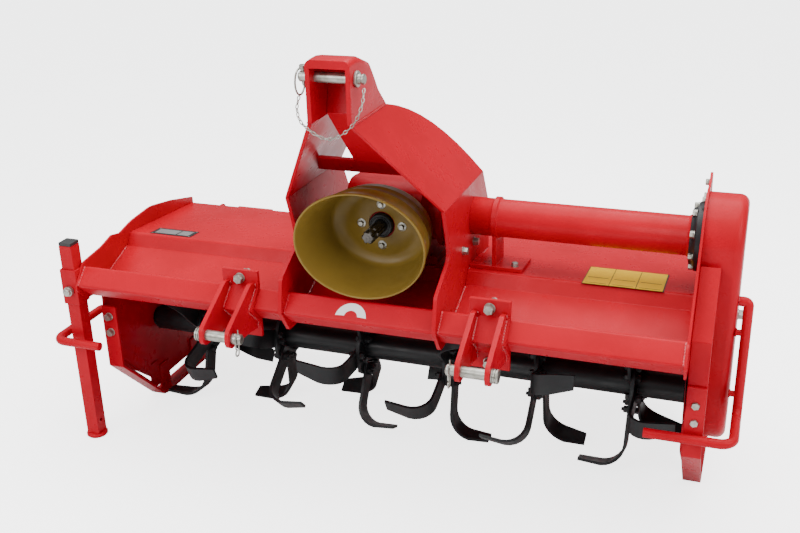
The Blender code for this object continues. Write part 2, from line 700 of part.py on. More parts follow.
def deck_z(y):
    """Height of the deck's upper face at a place along Y."""
    slope = (DECK_REAR_Z - RIDGE_Z) / (DECK_REAR_Y - RIDGE_Y)
    return RIDGE_Z + slope * (y - RIDGE_Y) + SHEET / 2 / math.cos(math.atan(slope))


def tube_foot(root):
    """The saddle that props the tube on the deck beside the right mast plate."""
    low, high = MAST_PLATE_X + FIT, 0.360
    front, rear = DRIVE_Y - 0.048, DRIVE_Y + 0.060
    base = [(front, deck_z(front) + FIT), (rear, deck_z(rear) + FIT),
            (rear, deck_z(rear) + FIT + 0.010), (front, deck_z(front) + FIT + 0.010)]
    foot = add("tube_foot", prism(base, "x", low, high), "red_paint", root)
    web_top = DRIVE_Z - 0.030
    web = prism([(DRIVE_Y - 0.042, deck_z(DRIVE_Y) + 0.004), (DRIVE_Y + 0.050, deck_z(DRIVE_Y) + 0.004),
                 (DRIVE_Y + 0.046, web_top), (DRIVE_Y - 0.042, web_top)],
                "x", RING_X - 0.005, RING_X + 0.005)
    weld(foot, add("tube_foot_web", web, None, root))
    seat = rod("x", (DRIVE_Y, DRIVE_Z), low - 0.01, high + 0.01, RING_RADIUS + FIT)
    return cut(foot, add("tube_foot_seat", seat, None, root))


def case_outline(radius):
    """The chain case's side view: two half rounds joined by straight flanks."""
    tilt = math.degrees(math.atan2(ROTOR_Y - DRIVE_Y, DRIVE_Z - ROTOR_Z))
    upper = arc(DRIVE_Y, DRIVE_Z, radius, 180 - tilt, -tilt, 14)
    return (upper + arc(ROTOR_Y, ROTOR_Z, radius, -tilt, -180 - tilt, 14))[::-1]


def case_front(z):
    """Where the chain case's front flank is at a height."""
    tilt = math.atan2(ROTOR_Y - DRIVE_Y, DRIVE_Z - ROTOR_Z)
    return DRIVE_Y - CASE_RADIUS / math.cos(tilt) + (DRIVE_Z - z) * math.tan(tilt)


def chain_case(root):
    """The case over the side drive, from the cross tube down to the rotor."""
    low, high = CASE_INNER_X, CASE_INNER_X + CASE_WIDTH
    case = add("chain_case", prism(case_outline(CASE_RADIUS), "x", low, high), "red_paint", root)
    edge = case.modifiers.new("edge", "BEVEL")
    edge.width = CASE_EDGE
    edge.segments = 3
    edge.limit_method = "WEIGHT"
    mesh = case.data
    weights = mesh.attributes.new("bevel_weight_edge", "FLOAT", "EDGE")
    for line in mesh.edges:
        ends = [mesh.vertices[k].co.x for k in line.vertices]
        if min(ends) > high - 1e-4:
            weights.data[line.index].value = 1.0
    hollow = prism(case_outline(CASE_RADIUS - CASE_WALL), "x", low - 0.01, high - CASE_EDGE)
    return cut(case, add("case_hollow", hollow, None, root))


# ---------------------------------------------------------------- skids and end guards
def skid(root, name, low, high, rest):
    """A bent flat bar: an upright front leg, a slanting knee and the flat shoe.

    The two lugs lie against the inner face of the end plate.
    """
    floor = SKID_THICKNESS / 2
    path = [(SKID_FRONT_Y, SKID_TOP_Z), (SKID_FRONT_Y, SKID_KNEE_Z), (SKID_TOE_Y - 0.022, floor + 0.006),
            (SKID_TOE_Y, floor), (SKID_REAR_Y, floor)]
    bar = add(name, strip(path, SKID_THICKNESS, "x", low, high), "red_paint", root)
    for index, y in enumerate((SKID_TOE_Y + 0.045, SKID_REAR_Y - 0.050)):
        lug = block(rest, (y - 0.028, y + 0.028), (floor, 0.080))
        weld(bar, add(name + "_lug_" + str(index), lug, None, root))
    return bar


def case_bar(root):
    """The bent bar that covers the front of the chain case, above the right skid."""
    low = RIGHT_END_X + PLATE + FIT
    front = SKID_FRONT_Y + SKID_THICKNESS + FIT
    foot_z, knee_z, top_z = SKID_TOP_Z - 0.125, HITCH_Z + 0.050, HITCH_Z + 0.200
    top_y = case_front(top_z) - 0.012
    path = [(front, foot_z), (front, knee_z), (top_y, top_z)]
    bar = add("case_bar", strip(path, SKID_THICKNESS, "x", low, low + SKID_WIDTH), "red_paint", root)
    web = prism([(front, foot_z + 0.004), (case_front(foot_z) - FIT, foot_z + 0.004),
                 (case_front(top_z) - FIT, top_z - 0.004), (top_y, top_z - 0.004),
                 (front, knee_z)], "x", low + 0.018, low + 0.024)
    return weld(bar, add("case_bar_web", web, None, root))


def guard_left(root):
    """The bent round bar beside and in front of the left end."""
    x, y, z = GUARD_LEFT_X + GUARD_RADIUS, GUARD_LEFT_Y, HITCH_Z - 0.136
    points = [(LEFT_END_X - FIT, 0.330, z), (x, 0.330, z), (x, y, z), (-0.778, y, z)]
    return add("guard_left", bent_bar(points, (0.030, 0.028), GUARD_RADIUS), "red_paint", root)


def guard_right(root):
    """The bent round bar beside the chain case and in front of its foot, with two stays."""
    x, y, low = GUARD_RIGHT_X - GUARD_RADIUS, GUARD_RIGHT_Y, HITCH_Z - 0.205
    front = SKID_FRONT_Y - SKID_THICKNESS / 2 - GUARD_RADIUS - FIT
    case_x = CASE_INNER_X + CASE_WIDTH + FIT
    points = [(case_x, y + 0.02, HITCH_Z + 0.100), (x, y + 0.02, HITCH_Z + 0.100), (x, y, low),
              (x, front, low), (0.724, front, low)]
    bar = add("guard_right", bent_bar(points, (0.018, 0.035, 0.050), GUARD_RADIUS), "red_paint", root)
    for index, drop in enumerate((0.017, -0.150)):
        lean = 0.02 * (HITCH_Z + drop - low) / (HITCH_Z + 0.100 - low)
        stay = rod("x", (y + lean, HITCH_Z + drop), case_x, x, GUARD_STAY_RADIUS, segments=12)
        weld(bar, add("guard_stay_" + str(index), stay, None, root))
    return bar


# ---------------------------------------------------------------- hitch brackets
def clevis(root, name, centre):
    """The front half of a lower hitch bracket: a plate bent over the beam and two ears."""
    half = BEAM_SIDE / math.sqrt(2) + FIT + CLAMP_THICKNESS / 2 * math.sqrt(2)
    flange_y = BEAM_Y - CLAMP_THICKNESS / 2 - FIT
    reach = BEAM_Y - flange_y
    path = [(flange_y, BEAM_Z + 0.094), (flange_y, BEAM_Z + half - reach),
            (BEAM_Y - half, BEAM_Z), (flange_y, BEAM_Z - half + reach), (flange_y, BEAM_Z - 0.094)]
    low, high = centre - CLAMP_WIDTH / 2, centre + CLAMP_WIDTH / 2
    plate = add(name, strip(path, CLAMP_THICKNESS, "x", low, high), "red_paint", root)
    nose = BEAM_Y - half + 0.002
    for side in (-1, 1):
        inner = centre + side * EAR_GAP / 2
        outer = inner + side * EAR_THICKNESS
        ear = rounded([
            (flange_y - 0.002, BEAM_Z + 0.062, 0.006), (0.118, BEAM_Z + 0.066, 0.02),
            (-0.8 * EAR_RADIUS, HITCH_Z + 0.024, 0.024),
            (-EAR_RADIUS, HITCH_Z - EAR_RADIUS, EAR_RADIUS * 0.9),
            (EAR_RADIUS * 0.9, HITCH_Z - EAR_RADIUS, EAR_RADIUS * 0.7),
            (nose - 0.004, BEAM_Z - 0.062, 0.02), (flange_y - 0.002, BEAM_Z - 0.070, 0.006),
            (flange_y - 0.002, BEAM_Z - half + reach), (nose, BEAM_Z),
            (flange_y - 0.002, BEAM_Z + half - reach)])
        low, high = sorted((inner, outer))
        weld(plate, add(name + "_ear_" + str(side), prism(ear, "x", low, high), None, root))
    bore = rod("x", (0, HITCH_Z), centre - 0.1, centre + 0.1, HITCH_PIN_RADIUS + FIT)
    return cut(plate, add(name + "_bore", bore, None, root))


def clamp_back(root, name, centre):
    """The rear bar of a lower hitch bracket, with the two bolts that close it on the beam."""
    half = BEAM_SIDE / math.sqrt(2) + FIT + CLAMP_THICKNESS / 2 * math.sqrt(2)
    flange_y = BEAM_Y + CLAMP_THICKNESS / 2 + FIT
    reach = flange_y - BEAM_Y
    path = [(flange_y, BEAM_Z + 0.080), (flange_y, BEAM_Z + half - reach),
            (BEAM_Y + half * 0.62, BEAM_Z + half * 0.38)]
    low, high = centre - CLAMP_WIDTH * 0.3, centre + CLAMP_WIDTH * 0.3
    return add(name, strip(path, CLAMP_THICKNESS, "x", low, high), "red_paint", root)


def hitch_pin(root, name, centre, side):
    """A lower hitch pin, its collar outwards and its drilled tail towards the middle."""
    half = EAR_GAP / 2 + EAR_THICKNESS
    profile = [(-half - 0.026, 0), (-half - 0.026, HITCH_PIN_RADIUS - 0.003),
               (-half - 0.023, HITCH_PIN_RADIUS), (half + FIT, HITCH_PIN_RADIUS),
               (half + FIT, 0.018), (half + 0.016, 0.018), (half + 0.018, 0.016), (half + 0.018, 0)]
    placed = [(centre + side * along, radius) for along, radius in profile]
    return add(name, lathe(placed, "x", (0, HITCH_Z)), "zinc", root)


# ---------------------------------------------------------------- parking stand
LEG_X = LEFT_END_X - FIT - SLEEVE_WALL - FIT - LEG_SIDE / 2


def square(centre, half):
    """A square outline around a centre."""
    x, y = centre
    return [(x - half, y - half), (x + half, y - half), (x + half, y + half), (x - half, y + half)]


def stand(root):
    """The square sleeve on the left end and the leg that slides in it."""
    centre = (LEG_X, LEG_Y)
    sleeve_half = LEG_SIDE / 2 + FIT + SLEEVE_WALL
    low = SLEEVE_TOP_Z - SLEEVE_HEIGHT
    sleeve = add("stand_sleeve", prism(square(centre, sleeve_half), "z", low, SLEEVE_TOP_Z),
                 "red_paint", root)
    bore = prism(square(centre, LEG_SIDE / 2 + FIT), "z", low - 0.02, SLEEVE_TOP_Z + 0.02)
    cut(sleeve, add("sleeve_bore", bore, None, root))
    axis = empty("stand_axis", (LEG_X, LEG_Y, 0), root)
    leg = add("stand_leg", prism(square((0, 0), LEG_SIDE / 2), "z", FOOT_THICKNESS + FIT, LEG_LENGTH),
              "red_paint", axis)
    hollow = prism(square((0, 0), LEG_SIDE / 2 - LEG_WALL), "z", FOOT_THICKNESS - 0.01, LEG_LENGTH + 0.01)
    cut(leg, add("leg_hollow", hollow, None, axis))
    hole = rod("x", (0, 0.052), -0.03, 0.03, 0.0055, segments=12)
    cut(leg, add("leg_hole", hole, None, axis))
    foot = rod("z", (0, 0), 0, FOOT_THICKNESS, FOOT_RADIUS, 0.003, 24)
    add("stand_foot", foot, "red_paint", axis)
    cap = add("stand_cap", prism(square((0, 0), LEG_SIDE / 2), "z", LEG_LENGTH + FIT,
                                 LEG_LENGTH + FIT + CAP_HEIGHT), "black_plastic", axis)
    bolt_y = LEG_Y - sleeve_half - FIT
    bolt = lathe([(bolt_y - 0.020, 0), (bolt_y - 0.020, 0.008), (bolt_y - 0.018, 0.011),
                  (bolt_y - 0.010, 0.011), (bolt_y - 0.010, 0.014), (bolt_y, 0.014), (bolt_y, 0)],
                 "y", (LEG_X, SLEEVE_TOP_Z - 0.062), 20)
    add("stand_bolt", bolt, "zinc", root)
    return cap


# ---------------------------------------------------------------- rotor
def tine(phase, side, hub_x):
    """One L-shaped tine: a radial shank with a cutting leg turned along X."""
    bend = 0.058
    start = HUB_THICKNESS / 2 + TINE_THICKNESS / 2 - 0.0006
    stations = [(start, 0.047, 0.0, 1.0, 0.0), (start, 0.090, 0.0, 1.0, 0.0),
                (start, 0.140, 0.008, 1.0, 0.0)]
    top = TINE_REACH - TINE_THICKNESS / 2 - 0.002 - bend
    for k in range(7):
        angle = math.radians(90 * k / 6)
        stations.append((start + bend * (1 - math.cos(angle)), top + bend * math.sin(angle),
                         0.014 + 0.004 * k, 1.0, angle))
    stations.append((start + TINE_ARM, TINE_REACH - TINE_THICKNESS / 2 - 0.0075, 0.050, 0.72,
                     math.radians(90)))
    bm = bmesh.new()
    rings = []
    turn = Matrix.Rotation(phase, 3, "X")
    for x, radius, sweep, share, angle in stations:
        normal = (math.cos(angle), math.sin(angle))
        ring = []
        for across, through in ((-1, -1), (1, -1), (1, 1), (-1, 1)):
            half = TINE_THICKNESS / 2 * through * -1
            px = x - normal[0] * half
            pr = radius + normal[1] * half
            tangent = across * TINE_WIDTH / 2 * share - sweep
            point = turn @ Vector((side * px, tangent, -pr))
            ring.append(bm.verts.new((hub_x + point.x, point.y, point.z)))
        rings.append(ring)
    for one, two in zip(rings, rings[1:]):
        for i in range(4):
            j = (i + 1) % 4
            bm.faces.new((one[i], one[j], two[j], two[i]))
    bm.faces.new(rings[0])
    bm.faces.new(rings[-1][::-1])
    return bm


def tine_group(axis, index):
    """A hub plate with its tines, joined by the plate that carries them."""
    spacing = (LAST_HUB_X - FIRST_HUB_X) / (HUB_COUNT - 1)
    x = FIRST_HUB_X + spacing * index
    name = "tine_group_" + str(index + 1)
    ring = pipe("x", (0, 0), x - HUB_THICKNESS / 2, x + HUB_THICKNESS / 2, HUB_RADIUS,
                ROTOR_TUBE_RADIUS + FIT)
    group = add(name, ring, "black_paint", axis)
    lead = -math.radians(FIRST_LEAD + LEAD_STEP * index)
    for k in range(TINES_PER_HUB):
        side = 1 if k % 2 == 0 else -1
        phase = lead + 2 * math.pi * k / TINES_PER_HUB
        weld(group, add(name + "_tine_" + str(k), tine(phase, side, x), None, axis))
    return group


def rotor(root):
    """The rotor: its tube, the two stub axles pressed into it and the groups of tines."""
    axis = empty("rotor_axis", (0, ROTOR_Y, ROTOR_Z), root)
    left = LEFT_END_X + PLATE + ROTOR_END_GAP
    right = RIGHT_END_X - ROTOR_END_GAP
    inner = ROTOR_TUBE_RADIUS - ROTOR_TUBE_WALL
    add("rotor_tube", pipe("x", (0, 0), left, right, ROTOR_TUBE_RADIUS, inner), "black_paint", axis)
    ends = (("rotor_axle_left", left, left + AXLE_PLUG, LEFT_END_X - 0.020),
            ("rotor_axle_right", right, right - AXLE_PLUG, RIGHT_END_X + PLATE - 0.002))
    for name, face, deep, tip in ends:
        profile = [(deep, 0), (deep, inner - FIT), (face, inner - FIT), (face, STUB_AXLE_RADIUS),
                   (tip, STUB_AXLE_RADIUS), (tip, 0)]
        add(name, lathe(profile, "x", (0, 0)), "black_paint", axis)
    for index in range(HUB_COUNT):
        tine_group(axis, index)


def rotor_bearings(root):
    """The bearing outside the left end plate and the seal ring inside the right one."""
    high = LEFT_END_X - FIT
    low = high - 0.034
    bore = STUB_AXLE_RADIUS + AXLE_FIT
    profile = [(low, 0), (low, 0.034), (low + 0.006, 0.040), (low + 0.020, 0.044),
               (low + 0.022, 0.062), (high, 0.062), (high, bore), (low + 0.012, bore),
               (low + 0.012, 0)]
    add("rotor_bearing", lathe(profile, "x", (ROTOR_Y, ROTOR_Z)), "black_paint", root)
    high = RIGHT_END_X - FIT
    ring = pipe("x", (ROTOR_Y, ROTOR_Z), high - 0.006, high, 0.060, bore)
    return add("rotor_seal", ring, "black_paint", root)


# ---------------------------------------------------------------- tailboard
def tailboard(root):
    """The hinged board behind the rotor, and the rod with the lugs that carry it."""
    low, high = LEFT_END_X + 0.012, RIGHT_END_X - 0.012
    centre = (TAIL_HINGE_Y, TAIL_HINGE_Z)
    hinge = add("tailboard_rod", rod("x", centre, low - 0.006, high + 0.006, TAIL_ROD_RADIUS,
                                     segments=16), "red_paint", root)
    for index, x in enumerate((-0.74, -0.46, -0.30, 0.30, 0.46, 0.74)):
        front, rear = DECK_REAR_Y + FIT, TAIL_HINGE_Y + 0.013
        low_z, high_z = TAIL_HINGE_Z - 0.013, TAIL_HINGE_Z + 0.013
        lug = rounded([(front, low_z), (rear, low_z, 0.012), (rear, high_z, 0.012), (front, high_z)])
        weld(hinge, add("tailboard_lug_" + str(index), prism(lug, "x", x - 0.004, x + 0.004), None, root))
    axis = empty("tailboard_axis", (0, TAIL_HINGE_Y, TAIL_HINGE_Z), root)
    drop = TAIL_LOWER_Z - TAIL_HINGE_Z
    path = [(0.0215, -0.034), (0.026, -0.060), (0.040, -0.160), (0.048, drop + 0.130),
            (TAIL_SWEEP, drop)]
    board = add("tailboard", strip(path, TAIL_SHEET, "x", low, high), "red_paint", axis)
    for index, x in enumerate((-0.62, 0.0, 0.62)):
        barrel = pipe("x", (0, 0), x - 0.06, x + 0.06, TAIL_BARREL_RADIUS,
                      TAIL_ROD_RADIUS + AXLE_FIT, 16)
        weld(board, add("tailboard_barrel_" + str(index), barrel, None, axis))
        strap = strip([(0.0085, -0.004), (0.012, -0.018), (0.0218, -0.045)], 0.005, "x", x - 0.06, x + 0.06)
        weld(board, add("tailboard_strap_" + str(index), strap, None, axis))
    return board


def build():
    """Build every piece."""
    clear_scene()
    root = empty("machine", (-CENTRE_X, -CENTRE_Y, 0))
    front_beam(root)
    end_plate_left(root)
    end_plate_right(root)
    hood(root)
    for side, label in ((-1, "left"), (1, "right")):
        plate = mast_plate(root, "mast_plate_" + label, side)
        if side > 0:
            hole = rod("x", (DRIVE_Y, DRIVE_Z), MAST_PLATE_X - 0.03, MAST_PLATE_X + 0.02,
                       TUBE_RADIUS + FIT)
            cut(plate, add("tube_hole", hole, None, root))
        mast_arm(root, "mast_arm_" + label, side)
        clevis(root, "hitch_bracket_" + label, side * HITCH_HALF_SPAN)
        clamp_back(root, "bracket_clamp_" + label, side * HITCH_HALF_SPAN)
        hitch_pin(root, "hitch_pin_" + label, side * HITCH_HALF_SPAN, side)
    mast_head(root)
    head_back(root)
    mast_brace(root)
    top_pin(root)
    gearbox(root)
    gearbox_seat(root)
    drive_shaft(root)
    seal_carrier(root)
    drive_shield(root)
    cross_tube(root)
    bearing_flange(root)
    tube_foot(root)
    chain_case(root)
    case_bar(root)
    inner = LEFT_END_X + PLATE + FIT
    skid(root, "skid_left", LEFT_END_X, LEFT_END_X + SKID_WIDTH, (inner, inner + 0.006))
    outer = RIGHT_END_X + PLATE + FIT
    skid(root, "skid_right", outer, outer + SKID_WIDTH, (outer, outer + 0.006))
    guard_left(root)
    guard_right(root)
    stand(root)
    rotor(root)
    rotor_bearings(root)
    tailboard(root)


build()
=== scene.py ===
"""Looks of a tractor-mounted rotary tiller: finishes, fine meshes and fittings on the frame.

Lengths are metres. Sizes are counted from the datum, the point midway between the two lower hitch
pins: X across the machine towards the chain case, Y backwards from the tractor, Z up.
"""
from __future__ import annotations

import json
import logging
import math
from dataclasses import dataclass
from enum import Enum
from typing import Any, Dict, Iterable, List, Optional, Sequence, Tuple

import bmesh
import bpy
from mathutils import Matrix, Vector

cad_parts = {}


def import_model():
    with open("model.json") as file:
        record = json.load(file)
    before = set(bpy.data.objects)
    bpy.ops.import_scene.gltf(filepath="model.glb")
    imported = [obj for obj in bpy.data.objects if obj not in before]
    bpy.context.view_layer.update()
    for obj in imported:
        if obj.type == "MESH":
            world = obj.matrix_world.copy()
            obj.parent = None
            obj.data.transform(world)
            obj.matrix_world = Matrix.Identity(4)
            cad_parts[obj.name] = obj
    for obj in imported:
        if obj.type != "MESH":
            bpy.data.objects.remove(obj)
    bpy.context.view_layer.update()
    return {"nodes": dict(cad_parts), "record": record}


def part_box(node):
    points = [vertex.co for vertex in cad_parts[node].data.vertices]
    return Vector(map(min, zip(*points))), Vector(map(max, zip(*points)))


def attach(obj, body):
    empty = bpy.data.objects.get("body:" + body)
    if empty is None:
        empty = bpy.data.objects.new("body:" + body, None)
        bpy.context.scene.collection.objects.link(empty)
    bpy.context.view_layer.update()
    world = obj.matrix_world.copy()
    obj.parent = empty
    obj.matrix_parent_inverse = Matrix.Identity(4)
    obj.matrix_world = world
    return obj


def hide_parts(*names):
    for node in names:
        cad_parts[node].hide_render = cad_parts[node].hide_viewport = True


frame: Dict[str, Any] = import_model()

log = logging.getLogger("tiller")
Point = Tuple[float, float, float]
Pair = Tuple[float, float]
Area = Tuple[Pair, Pair]
Colour = Tuple[float, float, float, float]

# How every finish is weathered: colours, and the values between which an effect sets in.
DUST: Colour = (0.42, 0.30, 0.26, 1.0)
DUST_SLOPE: Pair = (0.45, 1.0)
DUST_DRIFTS: Pair = (0.45, 0.75)
PATCH_EDGES: Pair = (0.38, 0.66)
RUBBED_EDGES: Pair = (0.535, 0.60)
CHIPS: Pair = (0.55, 0.70)
COAT_ROUGHNESS = 0.08

# Hexagon bolts, as shares of the head's width across its flats.
HEAD_HEIGHT = 0.62
HEAD_CHAMFER: Pair = (0.82, 0.87)
HEAD_TURN = 0.3
WASHER_THICKNESS = 0.11
STUD_RADIUS = 0.30

# Threads and weld beads, in metres, and the beads' ripples as share and pace.
THREAD_PITCH = 0.0016
BEAD_STEP = 0.0022
BEAD_RIPPLES: Sequence[Pair] = ((0.14, 1.9), (0.05, 0.37))

# Points closer than this become one, in new pieces and in copies of frame nodes.
MERGE_NEW = 2e-6
MERGE_COPY = 1e-5
FLAT_ANGLE = 0.6


class Axis(Enum):
    """The direction in which a section is extruded or a profile is turned."""

    X = "x"
    Y = "y"
    Z = "z"


class Body(Enum):
    """The moving bodies of the machine."""

    FRAME = "frame"
    ROTOR = "rotor"
    SHAFT = "drive_shaft"
    STAND = "stand"
    TAIL = "tailboard"


# ---------------------------------------------------------------- finishes
@dataclass(frozen=True)
class Finish:
    """A surface finish, made once as a node material.

    Attributes:
        name: the material's name.
        slot: the record's material slot; not used.
        colour: the main colour.
        drift: the colour that broad patches lean towards.
        worn: the colour that shows where edges are rubbed.
        rough: lowest and highest roughness over the surface.
        metal: how metallic the clean surface is.
        coat: weight of the clear layer on top.
        shine: how strongly the clean surface mirrors, 0.5 as usual.
        ior: refractive index, low where slanting reflections stay faint.
        patches: size of the broad colour patches, per metre.
        grain: size of the fine texture, per metre.
        relief: height of the fine texture.
        wear: how far rubbed edges spread, 0 for none.
        dust: how much pale dust lies on upward faces.
    """

    name: str
    slot: str
    colour: Colour
    drift: Colour
    worn: Colour = (0.30, 0.27, 0.24, 1.0)
    rough: Pair = (0.25, 0.40)
    metal: float = 0.0
    coat: float = 0.0
    shine: float = 0.5
    ior: float = 1.5
    patches: float = 5.0
    grain: float = 260.0
    relief: float = 0.00006
    wear: float = 0.0
    dust: float = 0.0

    def material(self) -> bpy.types.Material:
        """Make the material, or find it if it was made before.

        Returns:
            The node material of this finish.
        """
        known = bpy.data.materials.get(self.name)
        if known:
            return known
        made = bpy.data.materials.new(self.name)
        made.use_nodes = True
        graph = Graph(made)
        inputs = graph.shader.inputs
        inputs["Metallic"].default_value = self.metal
        inputs["Coat Weight"].default_value = self.coat
        inputs["Coat Roughness"].default_value = COAT_ROUGHNESS
        inputs["Specular IOR Level"].default_value = self.shine
        inputs["IOR"].default_value = self.ior
        place = graph.node("ShaderNodeTexCoord").outputs["Object"]
        graph.join(self.tint(graph, place), inputs["Base Color"])
        smears = graph.noise(place, scale=self.patches * 4, detail=4.0, rough=0.6)
        graph.join(graph.span(smears, *self.rough), inputs["Roughness"])
        texture = graph.noise(place, scale=self.grain, detail=3.0, rough=0.5)
        bump = graph.node("ShaderNodeBump", Height=texture, Strength=1.0, Distance=self.relief)
        graph.join(bump.outputs["Normal"], inputs["Normal"])
        return made

    def tint(self, graph: Graph, place: bpy.types.NodeSocket) -> bpy.types.NodeSocket:
        """Wire the colour: broad patches, dust on upward faces and rubbed edges.

        Args:
            graph: the material's nodes.
            place: the point on the surface.

        Returns:
            The colour's output.
        """
        patch = graph.noise(place, scale=self.patches, detail=5.0, rough=0.6)
        colour = graph.mix(graph.ramp(patch, *PATCH_EDGES), self.colour, self.drift)
        if self.dust > 0:
            normal = graph.node("ShaderNodeNewGeometry").outputs["Normal"]
            upward = graph.node("ShaderNodeSeparateXYZ", Vector=normal).outputs["Z"]
            drifts = graph.noise(place, scale=14.0, detail=6.0, rough=0.7)
            level = graph.maths("MULTIPLY", graph.ramp(upward, *DUST_SLOPE),
                                graph.ramp(drifts, *DUST_DRIFTS))
            colour = graph.mix(graph.maths("MULTIPLY", level, self.dust), colour, DUST)
        if self.wear > 0:
            edge = graph.node("ShaderNodeNewGeometry").outputs["Pointiness"]
            chips = graph.noise(place, scale=90.0, detail=4.0, rough=0.7)
            rubbed = graph.maths("MULTIPLY", graph.ramp(edge, *RUBBED_EDGES),
                                 graph.ramp(chips, *CHIPS))
            colour = graph.mix(graph.maths("MULTIPLY", rubbed, self.wear), colour, self.worn)
        return colour


class Graph:
    """Short calls for wiring a material's nodes."""

    def __init__(self, material: bpy.types.Material) -> None:
        """Start from a material's own Principled shader."""
        self.tree = material.node_tree
        self.shader = self.tree.nodes["Principled BSDF"]

    def node(self, kind: str, **inputs: Any) -> bpy.types.Node:
        """Add a node and fill its named inputs.

        Args:
            kind: the node's type name.
            inputs: a socket to link or a value to set, by input name.

        Returns:
            The new node.
        """
        made = self.tree.nodes.new(kind)
        for name, value in inputs.items():
            self.feed(value, made.inputs[name])
        return made

    def feed(self, value: Any, socket: bpy.types.NodeSocket) -> None:
        """Link a socket to an input, or set the input's value.

        Args:
            value: an output to link, or a plain value.
            socket: the input that gets it.
        """
        if isinstance(value, bpy.types.NodeSocket):
            self.tree.links.new(value, socket)
        else:
            socket.default_value = value

    def join(self, output: bpy.types.NodeSocket, socket: bpy.types.NodeSocket) -> None:
        """Link an output to an input."""
        self.tree.links.new(output, socket)

    def noise(self, place: bpy.types.NodeSocket, scale: float, detail: float,
              rough: float) -> bpy.types.NodeSocket:
        """Add a noise texture and return its grey value."""
        made = self.node("ShaderNodeTexNoise", Vector=place, Scale=scale, Detail=detail,
                         Roughness=rough)
        return made.outputs["Fac"]

    def ramp(self, value: bpy.types.NodeSocket, low: float, high: float) -> bpy.types.NodeSocket:
        """Stretch the range between two values to 0 and 1, smoothly.

        Args:
            value: the value to stretch.
            low: what becomes 0.
            high: what becomes 1.

        Returns:
            The stretched value.
        """
        made = self.node("ShaderNodeMapRange", Value=value)
        made.interpolation_type = "SMOOTHSTEP"
        made.inputs["From Min"].default_value = low
        made.inputs["From Max"].default_value = high
        return made.outputs["Result"]

    def span(self, value: bpy.types.NodeSocket, low: float, high: float) -> bpy.types.NodeSocket:
        """Spread a noise value between two limits.

        Args:
            value: the noise to spread, most of it between 0.3 and 0.7.
            low: the lower limit.
            high: the upper limit.

        Returns:
            The spread value.
        """
        made = self.node("ShaderNodeMapRange", Value=value)
        made.inputs["From Min"].default_value = 0.3
        made.inputs["From Max"].default_value = 0.7
        made.inputs["To Min"].default_value = low
        made.inputs["To Max"].default_value = high
        return made.outputs["Result"]

    def maths(self, operation: str, one: Any, two: Any) -> bpy.types.NodeSocket:
        """Combine two values with one of the Math node's operations.

        Args:
            operation: the Math node's operation.
            one: the first output or number.
            two: the second output or number.

        Returns:
            The result's output.
        """
        made = self.tree.nodes.new("ShaderNodeMath")
        made.operation = operation
        self.feed(one, made.inputs[0])
        self.feed(two, made.inputs[1])
        return made.outputs[0]

    def mix(self, share: Any, one: Any, two: Any) -> bpy.types.NodeSocket:
        """Mix two colours by a share.

        Args:
            share: the second colour's share.
            one: the first colour or output.
            two: the second colour or output.

        Returns:
            The mixed colour's output.
        """
        made = self.tree.nodes.new("ShaderNodeMix")
        made.data_type = "RGBA"
        self.feed(share, made.inputs[0])
        self.feed(one, made.inputs[6])
        self.feed(two, made.inputs[7])
        return made.outputs[2]


RED = Finish(
    "red_enamel", "red_paint", (0.44, 0.0006, 0.012, 1), (0.385, 0.0005, 0.009, 1),
    worn=(0.26, 0.004, 0.008, 1), rough=(0.24, 0.36), coat=0.0, ior=1.20, grain=150.0,
    relief=0.00010, wear=0.6, dust=0.006)
RED_CAST = Finish(
    "red_enamel_on_casting", "red_paint", (0.36, 0.0006, 0.009, 1), (0.28, 0.0005, 0.006, 1),
    worn=(0.20, 0.004, 0.006, 1), rough=(0.34, 0.48), coat=0.0, ior=1.22, grain=420.0,
    relief=0.00035, wear=0.4, dust=0.03)
RED_WELD = Finish(
    "red_enamel_on_welds", "red_paint", (0.46, 0.0010, 0.014, 1), (0.40, 0.0008, 0.010, 1),
    rough=(0.14, 0.24), coat=0.25, ior=1.35, grain=300.0, relief=0.00025)
BLACK = Finish(
    "black_enamel", "black_paint", (0.004, 0.0045, 0.0055, 1), (0.008, 0.008, 0.009, 1),
    worn=(0.05, 0.045, 0.04, 1), rough=(0.34, 0.55), coat=0.03, shine=0.35, grain=300.0,
    relief=0.00012, wear=0.5)
YELLOW = Finish(
    "olive_shield_plastic", "yellow_plastic", (0.205, 0.128, 0.022, 1), (0.165, 0.100, 0.016, 1),
    worn=(0.20, 0.15, 0.04, 1), rough=(0.30, 0.44), coat=0.03, shine=0.22, grain=220.0,
    relief=0.00006, wear=0.2)
ZINC = Finish(
    "zinc_plate", "zinc", (0.42, 0.41, 0.37, 1), (0.26, 0.25, 0.21, 1),
    worn=(0.30, 0.27, 0.22, 1), rough=(0.26, 0.48), metal=0.9, patches=40.0, grain=700.0,
    relief=0.00005, wear=0.4)
STEEL = Finish(
    "oiled_steel", "steel", (0.11, 0.10, 0.09, 1), (0.06, 0.055, 0.05, 1),
    worn=(0.30, 0.28, 0.25, 1), rough=(0.25, 0.45), metal=0.9, patches=30.0, grain=500.0,
    relief=0.00006, wear=0.5)
BLACK_PLASTIC = Finish(
    "cap_plastic", "black_plastic", (0.012, 0.012, 0.012, 1), (0.02, 0.02, 0.02, 1),
    rough=(0.45, 0.6), grain=500.0, relief=0.0001)
LABEL_WHITE = Finish(
    "label_white", "yellow_plastic", (0.78, 0.77, 0.75, 1), (0.72, 0.71, 0.69, 1),
    rough=(0.35, 0.45), coat=0.3, dust=0.1)
LABEL_YELLOW = Finish(
    "label_yellow", "yellow_plastic", (0.64, 0.38, 0.004, 1), (0.58, 0.34, 0.004, 1),
    rough=(0.35, 0.45), ior=1.2)
